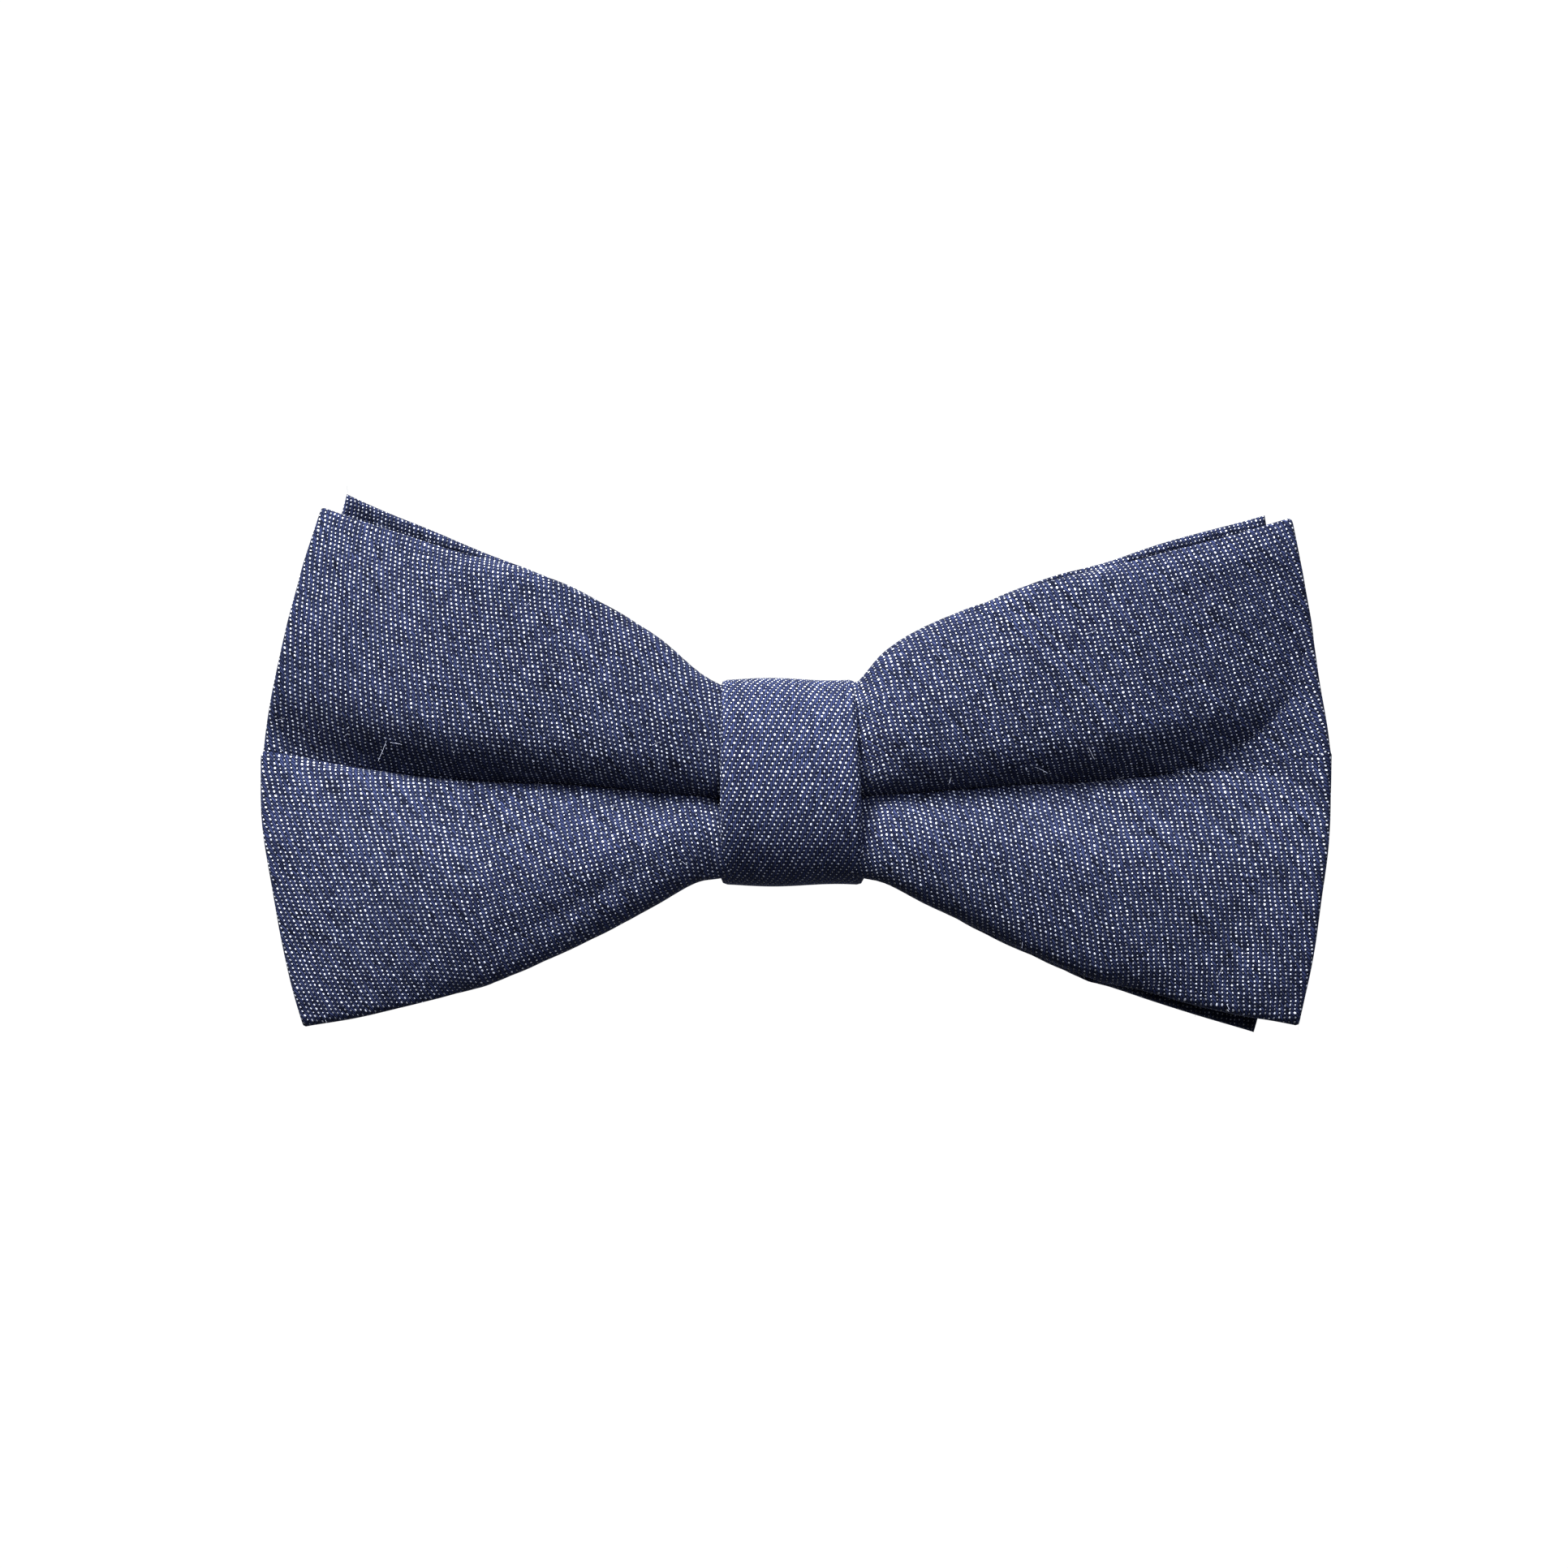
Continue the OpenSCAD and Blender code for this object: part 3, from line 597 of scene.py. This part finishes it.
def layer_surface(layer):
    """Middle surface of a layer, as a function of the places along and across its cloth."""
    depth_share, facing = LAYERS[layer]
    # The farthest shares at each place along a wing, so that they reach its outline exactly
    along, across = np.linspace(WAIST_X, EDGE_X, 99), np.linspace(0, 1, 101)
    shares = folds_at(1, np.tile(across, len(along)), np.repeat(along, len(across))).reshape(len(along), -1)
    least, most = -shares.min(axis=1), shares.max(axis=1)

    def surface(a, q):
        x = (2 * a - 1) * EDGE_X
        at = np.clip(np.abs(x), WAIST_X, EDGE_X)
        share = folds_at(1, q, at)
        share = share / np.where(share > 0, np.interp(at, along, most), np.interp(at, along, least))
        depth = folds_at(2, q, at)
        out = {}
        for side in (-1, 1):
            upper, pleat, lower, upper_x, lower_x, bulge_x = WINGS[layer, side]
            top, floor, bottom = [along_wing(OUTLINE_STATIONS, line, at) for line in (upper, pleat, lower)]
            height = floor + share * np.where(share > 0, top - floor, floor - bottom)
            tip = lower_x + (upper_x - lower_x) * q
            bulge = 1 - np.abs(2 * q - 1) ** np.where(q > 0.5, BULGE_POWERS[1], BULGE_POWERS[0])
            tip = tip + (bulge_x - (upper_x + lower_x) / 2) * bulge
            reach = np.abs(x) + (tip - EDGE_X) * ((at - WAIST_X) / (EDGE_X - WAIST_X)) ** 2
            out[side] = reach, height
        out_x = np.where(x < 0, -out[-1][0], out[1][0])
        out_z = np.where(x < 0, out[-1][1], out[1][1])
        pinch = 1 - WAIST_PINCH * np.clip(1 - (x / WAIST_X) ** 2, 0, 1)
        near_edge = 1 - (1 - depth_share) * np.clip((EDGE_X - np.abs(x)) / EDGE_BLEND, 0, 1)
        out_y = depth * near_edge * pinch
        out_z = out_z * pinch
        for name, place, height, long, wide, lean, rise in CREASES:
            if name == layer:
                on = (out_x - place) * math.cos(lean) + (out_z - height) * math.sin(lean)
                off = (out_z - height) * math.cos(lean) - (out_x - place) * math.sin(lean)
                out_y = out_y + rise * np.exp(-(on / long) ** 2 - (off / wide) ** 2)
        return LAYER_MIDDLE + np.stack([out_x, facing * np.maximum(out_y, LEAST_DEPTH), out_z], 1)

    return surface


# The knot's section: powers of its rounded outline, where its path starts, and the band's two ends,
# with their lap as a share of the way round and their thickness there in mm
FRONT_CROWN, FLAT_BACK, BACK_TOP = (2.15, 2.05), 7.0, 0.55
KNOT_LAP, LAP_THICKNESS = 0.035, 0.72


def knot_path(turn):
    """Outer face of the knot in the Y-Z plane for a turn from 0 to 1, from the back's top, over the
    top, down the front and up the back: crowned in front, flat behind where the clip sits."""
    angle = np.linspace(0, 2 * np.pi, 721)
    front = np.cos(angle) > 0
    y, z = [np.sign(wave) * np.abs(wave) ** (2 / np.where(front, crown, FLAT_BACK))
            for wave, crown in ((-np.cos(angle), FRONT_CROWN[0]), (np.sin(angle), FRONT_CROWN[1]))]
    y, z = y * KNOT_HALF[1], z * KNOT_HALF[2]
    run = np.concatenate([[0], np.cumsum(np.hypot(np.diff(y), np.diff(z)))])
    start = np.interp(np.pi - BACK_TOP, angle, run)
    at = (start - turn * run[-1]) % run[-1]
    return np.interp(at, run, y), np.interp(at, run, z), run[-1]


def knot_surface(thickness):
    """Middle surface of the knot's band. Its inner end lies under its outer end at the back."""

    def surface(a, q):
        turn = a * (1 + 2 * KNOT_LAP) - KNOT_LAP
        step = 2e-3
        y0, z0, _ = knot_path(turn - step)
        y1, z1, _ = knot_path(turn + step)
        y, z, _ = knot_path(turn)
        run = np.hypot(y1 - y0, z1 - z0)
        out_y, out_z = (z1 - z0) / run, -(y1 - y0) / run
        under = np.clip((2.5 * KNOT_LAP - turn) / (1.5 * KNOT_LAP), 0, 1)
        sink = thickness(a) / 2 + under * LAP_THICKNESS
        # The right edge leans in towards the top, and the band's faces dip a little between its edges
        lean = -(0.3 + 0.45 * z / KNOT_HALF[2]) * q
        soft = 0.14 * np.cos(7 * q + 0.6) * np.abs(z) / KNOT_HALF[2]
        x = (2 * q - 1) * KNOT_HALF[0] + lean
        return KNOT_MIDDLE + np.stack([x, y - out_y * (sink + soft), z - out_z * (sink + soft)], 1)

    return surface


def bevelled_copy(node, name, width):
    """A copy of a CAD part with its sharp edges rounded over a width in millimetres."""
    shape = bmesh.new()
    shape.from_mesh(frame["nodes"][node].data)
    bmesh.ops.remove_doubles(shape, verts=shape.verts, dist=1e-6)
    bmesh.ops.dissolve_limit(shape, angle_limit=math.radians(0.5), verts=shape.verts, edges=shape.edges)
    sharp = [e for e in shape.edges if len(e.link_faces) == 2 and e.calc_face_angle(0) > math.radians(35)]
    bmesh.ops.bevel(shape, geom=sharp, offset=width * MM, offset_type="OFFSET", affect="EDGES",
                    segments=3, profile=0.5, material=-1, clamp_overlap=True)
    bmesh.ops.triangulate(shape, faces=[f for f in shape.faces if len(f.verts) > 4])
    piece = new_piece(name, shape)
    piece.data.set_sharp_from_angle(angle=math.radians(38))
    weighted = piece.modifiers.new("flat faces stay flat", "WEIGHTED_NORMAL")
    weighted.keep_sharp = True
    return piece


def twisted(line, strand, pitch):
    """Lines of the two plies of a thread that follows a line, all in millimetres."""
    line = np.array(line, float)
    run = np.concatenate([[0], np.cumsum(np.linalg.norm(np.diff(line, axis=0), axis=1))])
    at = np.linspace(0, run[-1], max(8, int(run[-1] / pitch * 9)))
    core = np.stack([np.interp(at, run, line[:, k]) for k in range(3)], 1)
    way = np.gradient(core, axis=0)
    way /= np.linalg.norm(way, axis=1)[:, None]
    side = np.cross(way, np.array([0.31, 0.22, 0.92]))
    side /= np.linalg.norm(side, axis=1)[:, None]
    up = np.cross(way, side)
    turn = 2 * np.pi * at / pitch
    return [core + strand * (np.cos(angle)[:, None] * side + np.sin(angle)[:, None] * up)
            for angle in (turn, turn + np.pi)]


def add_wall(piece, thickness):
    """Gives a closed cloth shell its inner face."""
    wall = piece.modifiers.new("cloth wall", "SOLIDIFY")
    wall.thickness, wall.offset = thickness, -1.0


def ripple(piece, size, depth, seed):
    """Moves every point of a piece along its normal by soft noise, as hand-pressed cloth lies."""
    mesh = piece.data
    normals = [v.normal.copy() for v in mesh.vertices]
    for vert, normal in zip(mesh.vertices, normals):
        place = vert.co / (size * MM) + Vector((seed, 0, 0))
        vert.co += normal * noise.noise(place) * depth * MM
    mesh.update()


# ---------------------------------------------------------------- operators


class BOWTIE_OT_layers(bpy.types.Operator):
    """Make the front and back layers of the bow"""

    bl_idname = "bow_tie.layers"
    bl_label = "Bow layers"

    def execute(self, context):
        sizes, cloth = context.scene.bow_tie.sizes, context.scene.bow_tie.cloth
        denim = denim_material("bias_denim", cloth.bias, cloth.end_spacing / MM, cloth.pick_spacing / MM)
        for layer, seed in (("front", 3.0), ("back", 17.0)):
            piece = flat_tube(layer + "_bow_cloth", layer_surface(layer), sizes.layer_length / MM,
                              sizes.layer_width / MM, sizes.layer_thickness / MM, (210, 92), seam_depth=0.2,
                              lines=GRAIN_LINES, split=PLEAT_AT)
            ripple(piece, 9.0, 0.22, seed)  # waves 9 mm across and up to 0.22 mm high
            add_wall(piece, sizes.cloth_thickness)
            finish_piece(piece, denim, "bow", "denim", layer + "_bow")
        return {"FINISHED"}


class BOWTIE_OT_interlinings(bpy.types.Operator):
    """Make the stiffening sheets inside the layers"""

    bl_idname = "bow_tie.interlinings"
    bl_label = "Interlinings"

    def execute(self, context):
        sizes = context.scene.bow_tie.sizes
        felt = fibre_material("non_woven_interlining", "#e6e2d8", "#cfc8b8", 900.0, 0.0001)
        margin = 0.012  # share of the cloth that the sheet leaves free at each edge
        for layer in LAYERS:
            whole = layer_surface(layer)
            piece = flat_tube(
                layer + "_stiffening_sheet",
                lambda a, q: whole(margin + a * (1 - 2 * margin), margin + q * (1 - 2 * margin)),
                sizes.layer_length / MM, sizes.layer_width / MM, sizes.stiffening_thickness / MM, (110, 46))
            finish_piece(piece, felt, "bow", "interlining", layer + "_interlining")
        return {"FINISHED"}


class BOWTIE_OT_knot(bpy.types.Operator):
    """Make the wrapped knot and the stiffening inside it"""

    bl_idname = "bow_tie.knot"
    bl_label = "Knot"

    def execute(self, context):
        sizes, cloth = context.scene.bow_tie.sizes, context.scene.bow_tie.cloth
        full = sizes.knot_thickness / MM

        def thickness(a):
            """The band thins towards its two ends, where they lie over each other."""
            from_end = np.minimum(np.minimum(a, 1 - a) / (2 * KNOT_LAP), 1)
            return LAP_THICKNESS + (full - LAP_THICKNESS) * from_end ** 2

        around = knot_path(np.array([0.0]))[2]
        length = around * (1 + 2 * KNOT_LAP)
        width = 2 * KNOT_HALF[0]
        # Painted light: the knot's denim is painted lighter all over, with a lift of 0.18
        denim = denim_material("straight_denim", math.radians(90), cloth.end_spacing / MM,
                               cloth.knot_pick_spacing / MM, painted_light_lift=0.18)
        wrap = flat_tube("knot_wrap_cloth", knot_surface(thickness), length, width, thickness, (300, 44))
        add_wall(wrap, sizes.cloth_thickness * 0.9)
        finish_piece(wrap, denim, "bow", "knot_denim", "knot_wrap")

        felt = fibre_material("woven_in_knot_stiffening", "#e6e2d8", "#cfc8b8", 900.0, 0.0001)
        whole, side_margin, end_margin, sheet_thickness = knot_surface(thickness), 0.03, 0.01, 0.3
        inner = flat_tube(
            "knot_stiffening_sheet",
            lambda a, q: whole(end_margin + a * (1 - 2 * end_margin), side_margin + q * (1 - 2 * side_margin)),
            length, width, sheet_thickness, (200, 20))
        finish_piece(inner, felt, "bow", "interlining", "knot_interlining")
        return {"FINISHED"}


class BOWTIE_OT_threads(bpy.types.Operator):
    """Make the waist binding and the hand stitches"""

    bl_idname = "bow_tie.threads"
    bl_label = "Threads"

    def execute(self, context):
        # The binding's turns, as rounded squares round both layers
        low, high = box_mm("waist_binding")
        middle, half = (low + high) / 2, (high - low) / 2
        radius, turns, steps, roundness = 0.22, 6, 40, 0.55
        binding = []
        for i in range(turns * steps + 1):
            angle = 2 * math.pi * i / steps
            corner = [math.copysign(abs(f(angle)) ** roundness, f(angle)) for f in (math.cos, math.sin)]
            place = np.array([(i / (turns * steps) - 0.5) * 2, *corner])
            binding.append(middle + place * (half - radius))

        # Five slanting hand stitches close the band's lap
        low, high = box_mm("knot_stitches")
        slant, arch, overrun, offsets = 0.9, 0.42, 0.15, (0.12, -0.1, 0.05, 0.14, -0.08)
        stitches = []
        for i, offset in enumerate(offsets):
            x = low[0] + (high[0] - low[0]) * (i + 0.5) / len(offsets) + offset
            stitches.append([(x + slant * (t - 0.5), high[1] - 0.5 + arch * math.sin(math.pi * t) ** 0.5,
                              high[2] + overrun - (high[2] - low[2] + 2 * overrun) * t)
                             for t in np.linspace(0, 1, 15)])

        # Double loops through the base's four sewing holes and over its edge
        sunk, tall = 0.9, 1.8
        loops = [[(x + side * (0.24 - 0.1 * t), KNOT_HIGH[1] - sunk + tall * math.sin(math.pi * t) ** 0.35,
                   z + (edge_z - z) * (1 - math.cos(math.pi * t)) / 2) for t in np.linspace(0, 1, 31)]
                 for x, z, edge_z in SEWING_HOLES for side in (-1, 1)]

        # Name, lines, distance of the plies from them, length of a twist, radius of a ply, and node
        thread = thread_material()
        for name, lines, strand, pitch, ply, node in (
            ("waist_binding_thread", [binding], 0.1, 1.1, 0.125, "waist_binding"),
            ("knot_stitch_thread", stitches, 0.085, 0.8, 0.11, "knot_stitches"),
            ("clip_stitch_thread", loops, 0.085, 0.8, 0.11, "clip_stitches"),
        ):
            plies = [line for path in lines for line in twisted(path, strand, pitch)]
            finish_piece(tube_along(name, plies, ply), thread, "bow", "thread", node)
        return {"FINISHED"}


class BOWTIE_OT_clip(bpy.types.Operator):
    """Finish the collar clip"""

    bl_idname = "bow_tie.clip"
    bl_label = "Collar clip"

    def execute(self, context):
        nickel = metal_material("nickel_plated_steel", "#d9d4c8", "#c2bcae", 0.2, 500.0, (1.0, 1.0, 8.0))
        pin = metal_material("peened_steel_pin", "#c9c6bf", "#a9a59c", 0.3, 900.0, (8.0, 1.0, 1.0))
        wire = metal_material("spring_wire", "#a9a9ab", "#8a8a8e", 0.28, 1500.0, (1.0, 1.0, 1.0))
        rubber = rubber_material()
        for node, name, material, body, slot, width in (
            ("clip_base", "clip_base_plate", nickel, "bow", "plated_steel", 0.1),
            ("clip_jaw", "clip_jaw_leaf", nickel, "jaw", "plated_steel", 0.1),
            ("left_grip_sleeve", "left_rubber_sleeve", rubber, "jaw", "sleeve_rubber", 0.4),
            ("right_grip_sleeve", "right_rubber_sleeve", rubber, "jaw", "sleeve_rubber", 0.4),
        ):
            finish_piece(bevelled_copy(node, name, width), material, body, slot, node)

        # Pin, turned from a profile: shaft, and a domed head at either end
        low, high = box_mm("hinge_pin")
        end, rim, shaft = high[0], (high[2] - low[2]) / 2, 0.7
        profile = [(end, 0.0), (end - 0.03, 0.45 * rim), (end - 0.14, 0.8 * rim), (end - 0.3, 0.97 * rim),
                   (end - 0.4, rim), (end - 0.5, 0.94 * rim), (end - 0.5, shaft), (0.0, shaft)]
        profile += [(-x, radius) for x, radius in reversed(profile[:-1])]
        turned = bmesh.new()
        verts = [turned.verts.new((x * MM, HINGE_POINT[1] * MM, (HINGE_POINT[2] + radius) * MM))
                 for x, radius in profile]
        edges = [turned.edges.new(pair) for pair in zip(verts, verts[1:])]
        bmesh.ops.spin(turned, geom=verts + edges, cent=HINGE_POINT * MM, axis=(1, 0, 0), angle=2 * math.pi,
                       steps=40, use_merge=True)
        bmesh.ops.remove_doubles(turned, verts=turned.verts, dist=1e-7)
        bmesh.ops.recalc_face_normals(turned, faces=turned.faces)
        peened = new_piece("peened_hinge_pin", turned)
        peened.data.set_sharp_from_angle(angle=math.radians(50))
        finish_piece(peened, pin, "bow", "pin_steel", "hinge_pin")

        # Spring: a leg against the base, the coil of four turns and a part round the pin, and a leg
        # against the tab
        coil, half, leg = 1.125, 1.35, 5.4
        start, stop = math.radians(196.5), math.radians(345.6 + 4 * 360)
        line = []
        for t in np.linspace(0, 1, 241):
            angle = start + (stop - start) * t
            line.append((-half + 2 * half * t, HINGE_POINT[1] + coil * math.cos(angle),
                         HINGE_POINT[2] + coil * math.sin(angle)))
        first = [(-half, line[0][1] + leg * math.sin(start) * k, line[0][2] - leg * math.cos(start) * k)
                 for k in (1.0, 0.6, 0.3, 0.1)]
        last = [(half, line[-1][1] - leg * math.sin(stop) * k, line[-1][2] + leg * math.cos(stop) * k)
                for k in (0.1, 0.3, 0.6, 1.0)]
        spring = tube_along("wound_spring", [first + line + last], 0.275, sides=4)
        spring.data.materials.append(wire)
        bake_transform(spring)
        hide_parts("torsion_spring")
        return {"FINISHED"}


class BOWTIE_OT_fibres(bpy.types.Operator):
    """Add the loose cotton fibres that stand off the cloth"""

    bl_idname = "bow_tie.fibres"
    bl_label = "Loose fibres"

    def execute(self, context):
        cotton = fibre_material("loose_cotton", "#e9ebf2", "#8f9ac0", 4000.0, 0.00001)
        chance = random.Random(11)
        on_edges, edges, step = 0.45, (0.0, 0.56, 0.62, 1.0), 1e-3
        sizes = context.scene.bow_tie.sizes
        thickness, width = sizes.layer_thickness / MM, sizes.layer_width / MM
        lines = []
        for layer, count in (("front", 230), ("back", 120)):
            surface = layer_surface(layer)
            for _ in range(count):
                wing, across = chance.choice((-1, 1)), chance.random()
                # More of them along the folded edges and on the lips of the pleat
                if chance.random() < on_edges:
                    across = min(1.0, max(0.0, chance.choice(edges) + chance.gauss(0, 0.012)))
                along = 0.5 + wing * chance.uniform(0.08, 0.5)
                beside = along - wing * step, across + math.copysign(step, 0.5 - across)
                here, near_a, near_q = surface(np.array([along, beside[0], along]),
                                               np.array([across, across, beside[1]]))
                out = np.cross(near_a - here, near_q - here)
                out *= math.copysign(1, out[1] * LAYERS[layer][1]) / max(np.linalg.norm(out), 1e-9)
                way = np.array([chance.gauss(0, 1) for _ in range(3)])
                way -= out * (way @ out) * 0.6
                way /= np.linalg.norm(way)
                curl = np.array([chance.gauss(0, 0.5) for _ in range(3)])
                reach = chance.uniform(0.5, 1.0) ** 2 * 1.7
                lift = 0.5 * thickness * fold_height(min(across, 1 - across) * width, thickness / 2)
                lines.append([here + out * (lift + 0.25 * t + 0.3 * t * t) + way * reach * t
                              + curl * reach * t * t * 0.6 for t in np.linspace(0, 1, 6)])
        fibres = tube_along("loose_cotton_fibres", lines, 0.011, sides=0)
        finish_piece(fibres, cotton, "bow", "denim")
        return {"FINISHED"}


class BOWTIE_OT_stage(bpy.types.Operator):
    """Set the floor, the lights and the camera"""

    bl_idname = "bow_tie.stage"
    bl_label = "Stage"

    def execute(self, context):
        stage = context.scene.bow_tie.stage
        floor_shape = bmesh.new()
        bmesh.ops.create_circle(floor_shape, cap_ends=True, segments=96, radius=stage.floor_radius)
        bmesh.ops.translate(floor_shape, verts=floor_shape.verts, vec=(0, 0, -stage.floor_drop))
        floor = new_piece("floor", floor_shape)
        # Matt emulsion paint: even and without gloss
        paint = emptied(bpy.data.materials.new("matt_white_paint"))
        shader = add_node(paint, "ShaderNodeBsdfPrincipled", {},
                          {"Base Color": linear("#c9c9ca"), "Roughness": 0.9})
        add_node(paint, "ShaderNodeOutputMaterial", {}, {"Surface": shader.outputs[0]})
        floor.data.materials.append(paint)
        floor.visible_diffuse = False  # the floor's own light would fill the pleats from below

        # The camera and the lights aim 0.9 mm left of the knot's middle and 0.2 mm below it
        middle = Vector((-0.00086, LAYER_MIDDLE[1] * MM, (LAYER_MIDDLE[2] - 0.2) * MM))
        # Name, place and size in metres, watts and colour
        for name, place, size, power, colour in (
            ("key_light", (-0.34, -0.46, 0.86), 0.4, 44.5, "#ffffff"),
            ("front_light", (0.3, -0.95, 0.58), 0.6, 12.0, "#eef2ff"),
            ("back_light", (0.1, 0.8, 0.55), 1.4, 8.0, "#ffffff"),
        ):
            lamp = bpy.data.lights.new(name, "AREA")
            lamp.energy, lamp.size, lamp.color = power, size, linear(colour)[:3]
            holder = linked(name, lamp)
            holder.location = place
            holder.rotation_euler = (middle - Vector(place)).to_track_quat("-Z", "Y").to_euler()

        # A white backdrop, with a dim room that metal reflects more brightly than it lights cloth
        world = emptied(bpy.data.worlds.new("studio"))
        path = add_node(world, "ShaderNodeLightPath").outputs
        room_light = add_node(world, "ShaderNodeMath", {"operation": "MULTIPLY_ADD"},
                              {0: path["Is Glossy Ray"], 1: 0.5, 2: 0.07})
        room = add_node(world, "ShaderNodeBackground", {},
                        {"Color": linear("#e8edf8"), "Strength": room_light.outputs[0]})
        backdrop = add_node(world, "ShaderNodeBackground", {}, {"Color": linear("#ffffff"), "Strength": 1.05})
        pick = add_node(world, "ShaderNodeMixShader", {},
                        {0: path["Is Camera Ray"], 1: room.outputs[0], 2: backdrop.outputs[0]})
        add_node(world, "ShaderNodeOutputWorld", {}, {"Surface": pick.outputs[0]})
        context.scene.world = world
        context.scene.view_settings.view_transform = "Standard"

        camera = linked("camera", bpy.data.cameras.new("camera"))
        camera.data.lens = stage.lens
        cloth_front = 0.003  # how far in front of the layers' meeting the view's width is measured
        distance = stage.view_width * stage.lens / camera.data.sensor_width + cloth_front
        camera.location = middle - Vector((0, distance, 0))
        camera.rotation_euler = (math.pi / 2, 0, 0)
        context.scene.camera = camera
        return {"FINISHED"}


class BOWTIE_PT_panel(bpy.types.Panel):
    """Lists the bow tie's operators"""

    bl_idname = "BOWTIE_PT_panel"
    bl_label = "Bow tie"
    bl_space_type = "VIEW_3D"
    bl_region_type = "UI"
    bl_category = "Bow tie"

    def draw(self, context):
        for operator in OPERATORS:
            self.layout.operator(operator.bl_idname)


OPERATORS = (BOWTIE_OT_stage, BOWTIE_OT_layers, BOWTIE_OT_interlinings, BOWTIE_OT_knot,
             BOWTIE_OT_threads, BOWTIE_OT_clip, BOWTIE_OT_fibres)
CLASSES = (BowSizes, ClothSettings, StageSettings, BowTieSettings, *OPERATORS, BOWTIE_PT_panel)


def register():
    """Registers the classes and the settings."""
    for item in CLASSES:
        bpy.utils.register_class(item)
    bpy.types.Scene.bow_tie = bpy.props.PointerProperty(type=BowTieSettings)


def unregister():
    """Takes the settings and the classes away again."""
    del bpy.types.Scene.bow_tie
    for item in reversed(CLASSES):
        bpy.utils.unregister_class(item)


def main():
    register()
    bpy.ops.bow_tie.stage()
    bpy.ops.bow_tie.layers()
    bpy.ops.bow_tie.interlinings()
    bpy.ops.bow_tie.knot()
    bpy.ops.bow_tie.threads()
    bpy.ops.bow_tie.clip()
    bpy.ops.bow_tie.fibres()


if __name__ == "__main__":
    main()
